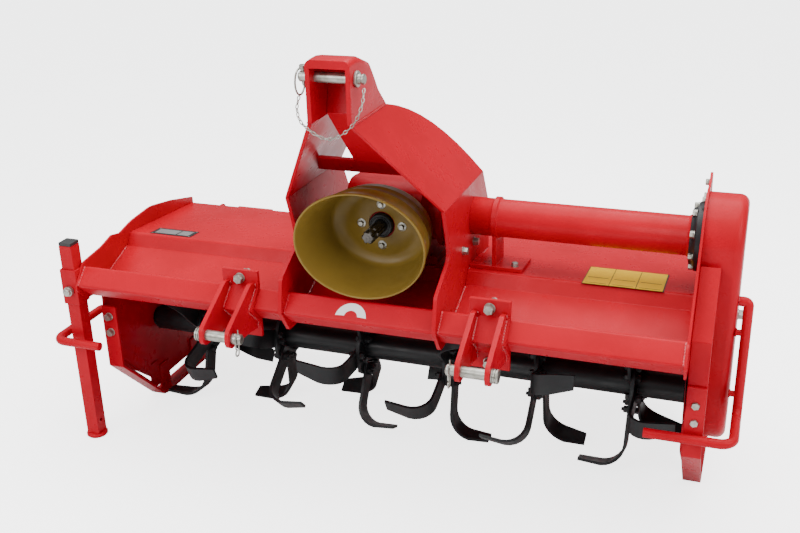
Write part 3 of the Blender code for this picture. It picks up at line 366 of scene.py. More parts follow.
LABEL_GREY = Finish(
    "label_grey", "black_paint", (0.20, 0.20, 0.20, 1), (0.15, 0.15, 0.15, 1),
    rough=(0.30, 0.45), ior=1.3)
LABEL_BLACK = Finish(
    "label_black", "black_plastic", (0.012, 0.012, 0.012, 1), (0.02, 0.02, 0.02, 1),
    rough=(0.35, 0.45), shine=0.2)


# ---------------------------------------------------------------- datum and frame
@dataclass(frozen=True)
class Datum:
    """The point midway between the lower hitch pins, found from the frame.

    Attributes:
        x: its place across.
        y: its place along.
        z: its height.
    """

    x: float
    y: float
    z: float

    @classmethod
    def from_frame(cls) -> Datum:
        """Measure the datum on the two lower pins.

        Returns:
            The datum.
        """
        left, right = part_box("hitch_pin_left"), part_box("hitch_pin_right")
        return cls((left[0][0] + right[1][0]) / 2, (left[0][1] + left[1][1]) / 2,
                   (left[0][2] + left[1][2]) / 2)

    def shift(self) -> Matrix:
        """The move from the datum's frame to the world."""
        return Matrix.Translation((self.x, self.y, self.z))


def body_of(node: str) -> Body:
    """The body that a frame node belongs to.

    Args:
        node: the node's name.

    Returns:
        Its body.
    """
    for name, nodes in frame["record"]["behaviour"]["bodies"].items():
        if node in nodes:
            return Body(name)
    raise KeyError(node)


def turn_from_z(direction: Sequence[float]) -> Matrix:
    """A rotation that takes +Z to a direction."""
    return Vector((0, 0, 1)).rotation_difference(Vector(direction)).to_matrix().to_4x4()


def arc(centre: Pair, radius: float, start: float, end: float, steps: int) -> List[Pair]:
    """Points on an arc in a plane.

    Args:
        centre: the arc's centre.
        radius: the arc's radius.
        start: first angle in degrees.
        end: last angle in degrees.
        steps: number of stretches between the first and the last point.

    Returns:
        The points, both ends included.
    """
    points = []
    for i in range(steps + 1):
        angle = math.radians(start + (end - start) * i / steps)
        points.append((centre[0] + radius * math.cos(angle), centre[1] + radius * math.sin(angle)))
    return points


def circle(radius: float, count: int, turn: float = 0.0,
           centre: Pair = (0.0, 0.0)) -> List[Pair]:
    """Points spaced evenly round a circle.

    Args:
        radius: the circle's radius.
        count: the number of points.
        turn: the first point's angle in radians.
        centre: the circle's centre.

    Returns:
        The points, the first one given once.
    """
    angles = [2 * math.pi * k / count + turn for k in range(count)]
    return [(centre[0] + radius * math.cos(a), centre[1] + radius * math.sin(a)) for a in angles]


def rounded_path(points: Sequence[Sequence[float]], bend: float, steps: int = 8,
                 closed: bool = False) -> List[Vector]:
    """Round the inner corners of a path.

    Args:
        points: the path's corners, in two or three dimensions.
        bend: the radius of each bend, cut down where a side is short.
        steps: stretches along each bend.
        closed: whether the last point joins the first.

    Returns:
        The rounded path.
    """
    corners = [Vector(p) for p in points]
    count = len(corners)
    route: List[Vector] = [] if closed else [corners[0]]
    inner = range(count) if closed else range(1, count - 1)
    for i in inner:
        here = corners[i]
        back, ahead = corners[i - 1] - here, corners[(i + 1) % count] - here
        room = 0.48 * min(back.length, ahead.length)
        back.normalize()
        ahead.normalize()
        half = back.angle(ahead) / 2
        if half > 1.55:
            route.append(here)
            continue
        reach = min(bend / math.tan(half), room)
        radius = reach * math.tan(half)
        centre = here + (back + ahead).normalized() * (radius / math.sin(half))
        first, last = here + back * reach - centre, here + ahead * reach - centre
        for k in range(steps + 1):
            share = k / steps
            angle = first.angle(last)
            one = math.sin((1 - share) * angle) / math.sin(angle)
            two = math.sin(share * angle) / math.sin(angle)
            route.append(centre + first * one + last * two)
    if not closed:
        route.append(corners[-1])
    return route


class Mesher:
    """Collects faces of one piece, in the datum's frame, and turns them into an object."""

    def __init__(self, datum: Datum) -> None:
        """Start an empty piece."""
        self.datum = datum
        self.bm = bmesh.new()

    def ring(self, points: Iterable[Sequence[float]],
             where: Matrix = Matrix()) -> List[bmesh.types.BMVert]:
        """Add loose points, moved by a matrix."""
        return [self.bm.verts.new(where @ Vector(point)) for point in points]

    def skin(self, rings: List[List[bmesh.types.BMVert]], closed: bool = False,
             caps: bool = True) -> None:
        """Join rings of equal length with faces.

        Args:
            rings: the rings in order.
            closed: whether the last ring joins the first.
            caps: whether the first and last ring are filled.
        """
        pairs = list(zip(rings, rings[1:]))
        if closed:
            pairs.append((rings[-1], rings[0]))
        for one, two in pairs:
            count = max(len(one), len(two))
            for i in range(count):
                j = (i + 1) % count
                corners = [one[i % len(one)], one[j % len(one)],
                           two[j % len(two)], two[i % len(two)]]
                unique = list(dict.fromkeys(corners))
                if len(unique) > 2:
                    self.bm.faces.new(unique)
        if caps and not closed:
            for ring in (rings[0], rings[-1]):
                if len(ring) > 2:
                    self.bm.faces.new(ring)

    def prism(self, outline: Sequence[Sequence[float]], axis: Axis, low: float, high: float,
              where: Matrix = Matrix()) -> Mesher:
        """Extrude a closed outline along an axis.

        Args:
            outline: the outline's points across the axis.
            axis: the direction of the extrusion.
            low: where it starts.
            high: where it ends.
            where: a further move.

        Returns:
            This piece, for chaining.
        """
        rings = []
        for along in (low, high):
            if axis is Axis.X:
                points = [(along, p[0], p[1]) for p in outline]
            elif axis is Axis.Y:
                points = [(p[0], along, p[1]) for p in outline]
            else:
                points = [(p[0], p[1], along) for p in outline]
            rings.append(self.ring(points, where))
        self.skin(rings)
        return self

    def turned(self, profile: Sequence[Pair], where: Matrix, segments: int = 48) -> Mesher:
        """Turn a profile of (along, radius) points about Z.

        Args:
            profile: the profile; one that starts off the axis is closed on itself.
            where: the move to its place.
            segments: points around.

        Returns:
            This piece, for chaining.
        """
        rings = []
        for along, radius in profile:
            if radius < 1e-7:
                rings.append(self.ring([(0, 0, along)], where))
                continue
            points = [(x, y, along) for x, y in circle(radius, segments)]
            rings.append(self.ring(points, where))
        self.skin(rings, closed=len(rings[0]) > 1, caps=False)
        return self

    def swept(self, route: Sequence[Sequence[float]], radius: float, segments: int = 16,
              closed: bool = False) -> Mesher:
        """Sweep a round section along a route.

        Args:
            route: the centre line.
            radius: the section's radius.
            segments: points around the section.
            closed: whether the route joins its start.

        Returns:
            This piece, for chaining.
        """
        path = [Vector(p) for p in route]
        rings = []
        side: Optional[Vector] = None
        for i, here in enumerate(path):
            before = path[i - 1] if i or closed else here
            after = path[(i + 1) % len(path)] if i + 1 < len(path) or closed else here
            run = (after - before).normalized()
            side = run.orthogonal() if side is None else side - run * side.dot(run)
            side.normalize()
            other = run.cross(side)
            section = circle(radius, segments)
            rings.append(self.ring([here + side * u + other * v for u, v in section]))
        self.skin(rings, closed=closed)
        return self

    def sheet(self, path: Sequence[Sequence[float]], thickness: float, axis: Axis, low: float,
              high: float) -> Mesher:
        """A bent sheet: a path thickened to both sides and extruded.

        Args:
            path: the middle of the sheet's section.
            thickness: the sheet's thickness.
            axis: the direction of the extrusion.
            low: where it starts.
            high: where it ends.

        Returns:
            This piece, for chaining.
        """
        points = [Vector(p[:2]) for p in path]
        left, right = [], []
        for i, here in enumerate(points):
            before = points[max(0, i - 1)]
            after = points[min(len(points) - 1, i + 1)]
            run = (after - before).normalized()
            normal = Vector((-run.y, run.x)) * (thickness / 2)
            left.append(tuple(here + normal))
            right.append(tuple(here - normal))
        return self.prism(left + right[::-1], axis, low, high)

    def bolt(self, at: Point, direction: Point, across: float, washer: float = 0.64,
             stud: float = 0.0) -> Mesher:
        """A hexagon head on a washer.

        Args:
            at: the point on the clamped face.
            direction: the way the head points.
            across: the head's width across its flats.
            washer: the washer's radius over the head's width.
            stud: how far a threaded end stands out of a nut, 0 for a bolt's head.

        Returns:
            This piece, for chaining.
        """
        where = Matrix.Translation(at) @ turn_from_z(direction)
        base, rim = across * WASHER_THICKNESS, across * washer
        profile = [(0, 0), (0, rim), (base * 0.8, rim), (base, rim * 0.96), (base, 0)]
        self.turned(profile, where, segments=32)
        height, corner = across * HEAD_HEIGHT, across / math.sqrt(3)
        start, inward = HEAD_CHAMFER
        rings = []
        for along, share in ((base, 1.0), (base + height * start, 1.0), (base + height, inward)):
            hexagon = circle(corner * share, 6, HEAD_TURN)
            rings.append(self.ring([(x, y, along) for x, y in hexagon], where))
        self.skin(rings)
        if stud > 0:
            self.thread(base + height - 0.001, stud, across * STUD_RADIUS, where)
        return self

    def thread(self, start: float, length: float, radius: float, where: Matrix) -> Mesher:
        """A threaded end.

        Args:
            start: where it starts along Z.
            length: how far it reaches.
            radius: the thread's outer radius.
            where: the move to its place.

        Returns:
            This piece, for chaining.
        """
        profile: List[Pair] = [(start, 0)]
        along = start
        while along < start + length:
            profile += [(along, radius * 0.9), (along + THREAD_PITCH / 2, radius)]
            along += THREAD_PITCH
        profile += [(along, radius * 0.8), (along, 0)]
        return self.turned(profile, where, segments=20)

    def bead(self, start: Sequence[float], end: Sequence[float], radius: float = 0.0032) -> Mesher:
        """A weld bead with its ripples between two points.

        Args:
            start: one end.
            end: the other end.
            radius: the bead's radius.

        Returns:
            This piece, for chaining.
        """
        one, two = Vector(start), Vector(end)
        run = two - one
        count = max(4, int(run.length / BEAD_STEP))
        side = run.orthogonal().normalized()
        other = run.normalized().cross(side)
        rings = []
        for i in range(count + 1):
            ripple = sum(share * math.sin(i * pace) for share, pace in BEAD_RIPPLES)
            swell = radius * (1.0 - BEAD_RIPPLES[0][0] + ripple)
            if i in (0, count):
                swell *= 0.5
            here = one + run * (i / count)
            section = circle(swell, 8)
            rings.append(self.ring([here + side * u + other * v for u, v in section]))
        self.skin(rings)
        return self

    def loose(self, name: str) -> bpy.types.Object:
        """Make a bare object of the faces collected so far.

        Args:
            name: the object's name.

        Returns:
            The object, with no finish and on no body.
        """
        bmesh.ops.remove_doubles(self.bm, verts=self.bm.verts, dist=MERGE_NEW)
        bmesh.ops.recalc_face_normals(self.bm, faces=self.bm.faces)
        bmesh.ops.transform(self.bm, matrix=self.datum.shift(), verts=self.bm.verts)
        mesh = bpy.data.meshes.new(name)
        self.bm.to_mesh(mesh)
        self.bm.free()
        return placed(name, mesh)

    def done(self, name: str, finish: Finish, body: Body, replaces: Sequence[str] = (),
             edge: float = 0.0, angle: float = 32.0) -> bpy.types.Object:
        """Make the object, dress it and fix it to its body.

        Args:
            name: the piece's name.
            finish: its finish.
            body: the body it rides on.
            replaces: frame nodes that it stands for.
            edge: width of the rounded edges, 0 for none.
            angle: edges sharper than this, in degrees, are rounded or kept sharp.

        Returns:
            The new object.
        """
        return dress(self.loose(name), finish, body, replaces, edge, angle)


def dress(piece: bpy.types.Object, finish: Finish, body: Body, replaces: Sequence[str],
          edge: float, angle: float) -> bpy.types.Object:
    """Round a piece's edges, give it its finish and fix it to its body.

    Args:
        piece: the object.
        finish: its finish.
        body: the body it rides on.
        replaces: frame nodes that it stands for.
        edge: width of the rounded edges, 0 for none.
        angle: edges sharper than this, in degrees, are rounded or kept sharp.

    Returns:
        The same object.
    """
    mesh = piece.data
    mesh.materials.clear()
    mesh.materials.append(finish.material())
    mesh.shade_smooth()
    if edge > 0:
        bevel = piece.modifiers.new("edge", "BEVEL")
        bevel.width = edge
        bevel.segments = 3
        bevel.limit_method = "ANGLE"
        bevel.angle_limit = math.radians(angle)
        bevel.harden_normals = True
    else:
        mesh.set_sharp_from_angle(angle=math.radians(angle))
    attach(piece, body.value)
    if replaces:
        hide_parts(*replaces)
    log.info("piece %s on %s", piece.name, body.value)
    return piece


def placed(name: str, data: bpy.types.ID) -> bpy.types.Object:
    """Make an object of a mesh, a light or a camera and put it in the scene.

    Args:
        name: the object's name.
        data: its mesh, light or camera.

    Returns:
        The object.
    """
    made = bpy.data.objects.new(name, data)
    bpy.context.collection.objects.link(made)
    return made


def carve(block: bpy.types.Object, tool: bpy.types.Object) -> bpy.types.Mesh:
    """Cut one loose object with another and remove both.

    Args:
        block: the object that is cut.
        tool: the object taken out of it.

    Returns:
        The mesh that is left.
    """
    cut = block.modifiers.new("cut", "BOOLEAN")
    cut.operation = "DIFFERENCE"
    cut.solver = "EXACT"
    cut.object = tool
    graph = bpy.context.evaluated_depsgraph_get()
    mesh = bpy.data.meshes.new_from_object(block.evaluated_get(graph))
    bpy.data.objects.remove(block)
    bpy.data.objects.remove(tool)
    return mesh


def copy_of(node: str) -> bmesh.types.BMesh:
    """A clean copy of a frame node's mesh, its flat faces joined.

    Args:
        node: the node's name.

    Returns:
        The copy, to be freed by whoever uses it.
    """
    bm = bmesh.new()
    bm.from_mesh(frame["nodes"][node].data)
    bmesh.ops.remove_doubles(bm, verts=bm.verts, dist=MERGE_COPY)
    bmesh.ops.dissolve_limit(bm, angle_limit=math.radians(FLAT_ANGLE), verts=bm.verts,
                             edges=bm.edges)
    return bm


def reskin(node: str, finish: Finish, edge: float, angle: float = 32.0) -> bpy.types.Object:
    """Stand a copy of a frame node with rounded edges in its place.

    Args:
        node: the frame node.
        finish: the finish of the copy.
        edge: width of the rounded edges.
        angle: edges sharper than this, in degrees, are rounded.

    Returns:
        The copy.
    """
    bm = copy_of(node)
    mesh = bpy.data.meshes.new(node + "_skin")
    bm.to_mesh(mesh)
    bm.free()
    if "custom_normal" in mesh.attributes:
        mesh.attributes.remove(mesh.attributes["custom_normal"])
    return dress(placed(node + "_skin", mesh), finish, body_of(node), (node,), edge, angle)


# ---------------------------------------------------------------- studio
@dataclass(frozen=True)
class Lamp:
    """One soft square light.

    Attributes:
        name: the light's name.
        at: where it stands.
        aim: the point it shines at.
        size: its side.
        power: its power in watts.
    """

    name: str
    at: Point
    aim: Point
    size: float
    power: float

    def build(self) -> bpy.types.Object:
        """Add the light.

        Returns:
            The light object.
        """
        data = bpy.data.lights.new(self.name, "AREA")
        data.energy = self.power
        data.size = self.size
        made = placed(self.name, data)
        made.location = self.at
        toward = Vector(self.aim) - Vector(self.at)
        made.rotation_euler = toward.to_track_quat("-Z", "Y").to_euler()
        return made


@dataclass
class Studio:
    """Pale floor, soft lights and the camera.

    Attributes:
        datum: the machine's datum.
        eye: the camera's place, from the datum.
        azimuth: the camera's turn about Z in degrees.
        elevation: how far it looks down in degrees.
        roll: its roll in degrees.
        lens: its focal length in millimetres.
        sensor: width of its sensor in millimetres.
        floor_size: the floor's side.
        floor_tones: the two pale greys that the floor drifts between.
        sky: strength of the surrounding light, low down and overhead.
        sky_heights: the heights on the sky where those two strengths hold.
        sky_colour: colour of the surrounding light.
        glow: how much brighter the floor looks than it lights the machine.
        distance: how much brighter than that the surroundings look.
        lamps: the lights.
    """

    datum: Datum
    eye: Point = (0.935149, -2.124043, 1.185543)
    azimuth: float = 19.9988
    elevation: float = 22.4189
    roll: float = -1.45045
    lens: float = 47.22
    sensor: float = 36.0
    floor_size: float = 60.0
    floor_tones: Tuple[Colour, Colour] = ((0.80, 0.80, 0.80, 1), (0.83, 0.83, 0.825, 1))
    sky: Pair = (0.30, 2.1)
    sky_heights: Pair = (0.30, 0.90)
    sky_colour: Colour = (0.97, 0.985, 1.0, 1)
    glow: float = 2.9
    distance: float = 1.6
    lamps: Sequence[Lamp] = (
        Lamp("top_light", at=(0.3, 0.6, 3.4), aim=(0, 0, 0.4), size=3.2, power=130),
        Lamp("front_light", at=(-1.6, -3.4, 2.6), aim=(0, 0, 0.5), size=2.4, power=95),
        Lamp("side_light", at=(3.2, -1.2, 2.2), aim=(0, 0, 0.5), size=2.0, power=50))

    def camera(self) -> bpy.types.Object:
        """Make the scene's camera.

        Returns:
            The camera object.
        """
        turn, tilt, roll = (math.radians(a) for a in (self.azimuth, self.elevation, self.roll))
        toward = Vector((math.sin(turn) * math.cos(tilt), -math.cos(turn) * math.cos(tilt),
                         math.sin(tilt)))
        right = Vector((math.cos(turn), math.sin(turn), 0))
        up = right.cross(-toward)
        across = right * math.cos(roll) + up * math.sin(roll)
        upright = up * math.cos(roll) - right * math.sin(roll)
        lens = bpy.data.cameras.new("camera")
        lens.lens = self.lens
        lens.sensor_width = self.sensor
        eye = placed("camera", lens)
        eye.matrix_world = (self.datum.shift() @ Matrix.Translation(self.eye)
                            @ Matrix((across, upright, toward)).transposed().to_4x4())
        bpy.context.scene.camera = eye
        return eye

    def floor(self) -> bpy.types.Object:
        """Make the pale floor.

        Returns:
            The floor object.
        """
        half = self.floor_size / 2
        mesh = bpy.data.meshes.new("floor")
        corners = [(-half, -half, 0), (half, -half, 0), (half, half, 0), (-half, half, 0)]
        mesh.from_pydata(corners, [], [(0, 1, 2, 3)])
        made = placed("floor", mesh)
        paint = bpy.data.materials.new("floor_paint")
        paint.use_nodes = True
        graph = Graph(paint)
        inputs = graph.shader.inputs
        place = graph.node("ShaderNodeTexCoord").outputs["Object"]
        shade = graph.noise(place, scale=1.5, detail=4.0, rough=0.5)
        graph.join(graph.mix(shade, *self.floor_tones), inputs["Base Color"])
        inputs["Roughness"].default_value = 0.9
        inputs["Emission Color"].default_value = (1, 1, 1, 1)
        seen = graph.node("ShaderNodeLightPath").outputs["Is Camera Ray"]
        graph.join(graph.maths("MULTIPLY", seen, self.glow), inputs["Emission Strength"])
        mesh.materials.append(paint)
        return made

    def surroundings(self) -> bpy.types.World:
        """Light the machine from all round, with an even pale distance behind the floor.

        Returns:
            The world.
        """
        world = bpy.data.worlds.new("studio")
        bpy.context.scene.world = world
        world.use_nodes = True
        nodes, links = world.node_tree.nodes, world.node_tree.links
        sky = nodes["Background"]
        sky.inputs["Color"].default_value = self.sky_colour
        height = nodes.new("ShaderNodeSeparateXYZ")
        links.new(nodes.new("ShaderNodeTexCoord").outputs["Generated"], height.inputs[0])
        level = nodes.new("ShaderNodeMapRange")
        links.new(height.outputs["Z"], level.inputs["Value"])
        limits = zip(("From Min", "From Max", "To Min", "To Max"), self.sky_heights + self.sky)
        for name, value in limits:
            level.inputs[name].default_value = value
        links.new(level.outputs["Result"], sky.inputs["Strength"])
        plain = nodes.new("ShaderNodeBackground")
        plain.inputs["Strength"].default_value = self.glow + self.distance
        choice = nodes.new("ShaderNodeMixShader")
        seen = nodes.new("ShaderNodeLightPath").outputs["Is Camera Ray"]
        for output, socket in zip((seen, sky.outputs[0], plain.outputs[0]), choice.inputs):
            links.new(output, socket)
        links.new(choice.outputs[0], nodes["World Output"].inputs["Surface"])
        return world

    def build(self) -> None:
        """Set up the floor, the surrounding light, the lamps and the camera."""
        self.floor()
        self.surroundings()
        for lamp in self.lamps:
            lamp.build()
        self.camera()


# ---------------------------------------------------------------- housing
@dataclass
class Housing:
    """Front beam, hood, end plates and the blank labels on them.

    Attributes:
        datum: the machine's datum.
        beam: the beam's centre in Y and Z.
        beam_side: its side.
        beam_wall: its wall.
        corner: radius of its corners.
        sheet: thickness of the hood.
        hem: corners of the hood's section, front to rear.
        fold: radius of its folds.
        ridge: where the deck starts, in Y and Z.
        rear: where the deck ends.
        filler: where the strips that close the deck behind the mast plates start, and their width.
        panels: left edge of the first yellow panel, pitch and width of the panels.
        panel_area: the backing's ends across, then its front and rear.
        panel_y: front and rear of the panels.
        panel_lines: a line's inset from its panel and its width.
        line_y: front and rear of the two lines on a panel.
        name_plate: the blank plate's ends across, then its front and rear.
        name_fields: ends of the two grey fields on it.
        field_y: their front and rear.
        rivets: the rivets' places across, then along.
        crescent: outer and inner radius of the white label on the beam.
        foot_bolt: place of the bolt beside the cross tube's foot, and its width.
        mast_seams: the mast plates' faces, where they are welded.
        end_seams: the end plates' faces.
        beam_seam: from and to along the beam's upper face, in Y and Z.
        slope_seam: the same along the hood's slope.
        deck_seam: the same along the deck, in Y only.
        rear_seam: place in Y and Z of the seams behind the beam.
        beads: radius of the beads on the beam, the slope, the deck and behind the beam.
    """

    datum: Datum
    beam: Pair = (0.152, 0.035)
    beam_side: float = 0.065
    beam_wall: float = 0.006
    corner: float = 0.008
    sheet: float = 0.005
    hem: Sequence[Pair] = ((0.180, 0.0), (0.186, -0.012), (0.365, 0.060), (0.386, 0.095),
                           (0.7545, 0.068), (0.7545, 0.023))
    fold: float = 0.009
    ridge: Pair = (0.386, 0.095)
    rear: Pair = (0.757, 0.068)
    filler: Pair = (0.610, 0.0108)
    panels: Tuple[float, float, float] = (0.525, 0.0685, 0.0665)
    panel_area: Area = ((0.523, 0.732), (0.378, 0.520))
    panel_y: Pair = (0.380, 0.518)
    panel_lines: Pair = (0.0065, 0.0535)
    line_y: Sequence[Pair] = ((0.388, 0.391), (0.432, 0.435))
    name_plate: Area = ((-0.775, -0.640), (0.394, 0.450))
    name_fields: Sequence[Pair] = ((-0.764, -0.693), (-0.688, -0.651))
    field_y: Pair = (0.402, 0.441)
    rivets: Area = ((-0.770, -0.645), (0.398, 0.446))
    crescent: Pair = (0.0425, 0.0185)
    foot_bolt: Tuple[float, float, float] = (0.335, 0.425, 0.016)
    mast_seams: Sequence[float] = (-0.2165, 0.2165, -0.2035, 0.2035)
    end_seams: Sequence[float] = (-0.838, 0.811)
    beam_seam: Tuple[Pair, Pair] = ((0.1085, 0.0350), (0.1505, 0.0775))
    slope_seam: Tuple[Pair, Pair] = ((0.196, -0.0050), (0.360, 0.0605))
    deck_seam: Pair = (0.392, 0.590)
    rear_seam: Pair = (0.1815, 0.0030)
    beads: Tuple[float, float, float, float] = (0.0046, 0.0044, 0.0030, 0.0026)

    def deck(self, y: float) -> float:
        """Height of the deck's upper face at a place along Y."""
        return self.ridge[1] + self.fall() * (y - self.ridge[0]) + self.sheet / 2

    def fall(self) -> float:
        """The deck's slope towards the rear."""
        return (self.rear[1] - self.ridge[1]) / (self.rear[0] - self.ridge[0])

    def diamond(self, half: float, corner: float) -> List[Vector]:
        """A square on its corner, with rounded corners.

        Args:
            half: from the middle to a corner.
            corner: radius of the corners.

        Returns:
            The outline in Y and Z.
        """
        y, z = self.beam
        corners = [(y - half, z), (y, z - half), (y + half, z), (y, z + half)]
        return rounded_path(corners, corner, steps=8, closed=True)

    def span(self, node: str) -> Pair:
        """The extent of a frame node along X, from the datum."""
        low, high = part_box(node)
        return low[0] - self.datum.x, high[0] - self.datum.x

    def make_beam(self) -> bpy.types.Object:
        """Make the square front tube.

        Returns:
            The tube.
        """
        low, high = self.span("front_beam")
        half = self.beam_side / math.sqrt(2)
        piece = Mesher(self.datum)
        outer = self.diamond(half, self.corner)
        inner = self.diamond(half - self.beam_wall * math.sqrt(2), self.corner * 0.5)
        loops = ((outer, low), (outer, high), (inner, high), (inner, low))
        rings = [piece.ring([(x, y, z) for y, z in loop]) for loop, x in loops]
        piece.skin(rings, closed=True)
        return piece.done("beam_tube", RED, Body.FRAME, ("front_beam",), edge=0.0008, angle=40)

    def make_hood(self, node: str) -> bpy.types.Object:
        """Make one stretch of the folded hood.

        Args:
            node: the frame node it stands for.

        Returns:
            The sheet.
        """
        low, high = self.span(node)
        piece = Mesher(self.datum)
        piece.sheet(rounded_path(self.hem, self.fold, 6), self.sheet, Axis.X, low, high)
        if node == "hood_centre":
            start, width = self.filler
            tail = [(start, self.deck(start) - self.sheet / 2)] + list(self.hem[-2:])
            for x in (low - width + 0.0001, high - 0.0001):
                piece.sheet(rounded_path(tail, self.fold, 6), self.sheet, Axis.X, x, x + width)
        return piece.done(node + "_sheet", RED, Body.FRAME, (node,), edge=0.0008, angle=40)

    def lay(self, name: str, finish: Finish, areas: Sequence[Area],
            lift: Pair) -> bpy.types.Object:
        """Make one piece of thin plates that lie on the deck.

        Args:
            name: the piece's name.
            finish: its finish.
            areas: each plate's ends across, then its front and rear.
            lift: the plates' lower and upper face above the deck.

        Returns:
            The piece.
        """
        piece = Mesher(self.datum)
        low, high = lift
        for (left, right), (front, rear) in areas:
            outline = [(front, self.deck(front) + low), (rear, self.deck(rear) + low),
                       (rear, self.deck(rear) + high), (front, self.deck(front) + high)]
            piece.prism(outline, Axis.X, left, right)
        return piece.done(name, finish, Body.FRAME)

    def make_labels(self) -> None:
        """Make the blank labels: three yellow panels, a dark plate and a white crescent."""
        first, pitch, width = self.panels
        inset, line = self.panel_lines
        lefts = [first + pitch * i for i in range(3)]
        panels = [((left, left + width), self.panel_y) for left in lefts]
        lines = [((left + inset, left + inset + line), y) for left in lefts for y in self.line_y]
        self.lay("panel_backing", LABEL_BLACK, [self.panel_area], (-0.0004, 0.0006))
        self.lay("yellow_panels", LABEL_YELLOW, panels, (0.0002, 0.0009))
        self.lay("panel_lines", LABEL_BLACK, lines, (0.0005, 0.0011))
        fields = [(ends, self.field_y) for ends in self.name_fields]
        self.lay("name_plate_blank", LABEL_BLACK, [self.name_plate], (-0.0004, 0.0012))
        self.lay("name_plate_fields", LABEL_GREY, fields, (0.0002, 0.0016))
        rivets = Mesher(self.datum)
        dome = [(0.0, 0.0), (0.0, 0.0024), (0.0016, 0.0018), (0.0022, 0.0)]
        for x in self.rivets[0]:
            for y in self.rivets[1]:
                rivets.turned(dome, Matrix.Translation((x, y, self.deck(y))), segments=12)
        rivets.done("name_plate_rivets", ZINC, Body.FRAME)
        self.make_crescent()

    def make_crescent(self) -> bpy.types.Object:
        """Make the white label on the beam's upper face.

        Returns:
            The label.
        """
        outer, inner = self.crescent
        outline = arc((0, 0), outer, 8, 172, 28) + arc((0, 0.004), inner, 170, 10, 20)
        place = Matrix.Translation((-0.019, 0.1245, 0.0535))
        slope = Matrix.Rotation(math.radians(45), 4, "X") @ Matrix.Translation((0, -0.016, 0))
        piece = Mesher(self.datum)
        piece.prism(outline, Axis.Z, -0.0004, 0.0009, place @ slope)
        return piece.done("beam_label", LABEL_WHITE, Body.FRAME)

    def make_foot_bolt(self) -> bpy.types.Object:
        """Make the bolt that holds the cross tube's foot on the deck.

        Returns:
            The bolt.
        """
        x, y, across = self.foot_bolt
        piece = Mesher(self.datum)
        piece.bolt((x, y, self.deck(y) + 0.0098), (0, -self.fall(), 1), across)
        return piece.done("tube_foot_bolt", ZINC, Body.FRAME)

    def make_welds(self) -> bpy.types.Object:
        """Make the weld beads along the mast plates, the end plates and the beam.

        Returns:
            All the beads, as one piece.
        """
        on_beam, on_slope, on_deck, behind = self.beads
        piece = Mesher(self.datum)
        for x in self.mast_seams + self.end_seams:
            for (start, end), radius in ((self.beam_seam, on_beam), (self.slope_seam, on_slope)):
                piece.bead((x,) + start, (x,) + end, radius)
        for x in self.mast_seams:
            start, end = ((x, y, self.deck(y)) for y in self.deck_seam)
            piece.bead(start, end, on_deck)
        left, right = self.end_seams
        for low, high in ((left, -0.217), (-0.203, 0.203), (0.217, right)):
            piece.bead((low,) + self.rear_seam, (high,) + self.rear_seam, behind)
        return piece.done("housing_welds", RED_WELD, Body.FRAME)

    def build(self) -> None:
        """Make the beam, the hood, the end plates and what is fixed on them."""
        self.make_beam()
        for node in ("hood_left", "hood_centre", "hood_right"):
            self.make_hood(node)
        for node in ("end_plate_left", "end_plate_right"):
            reskin(node, RED, edge=0.0014, angle=40)
        self.make_labels()
        self.make_foot_bolt()
        self.make_welds()


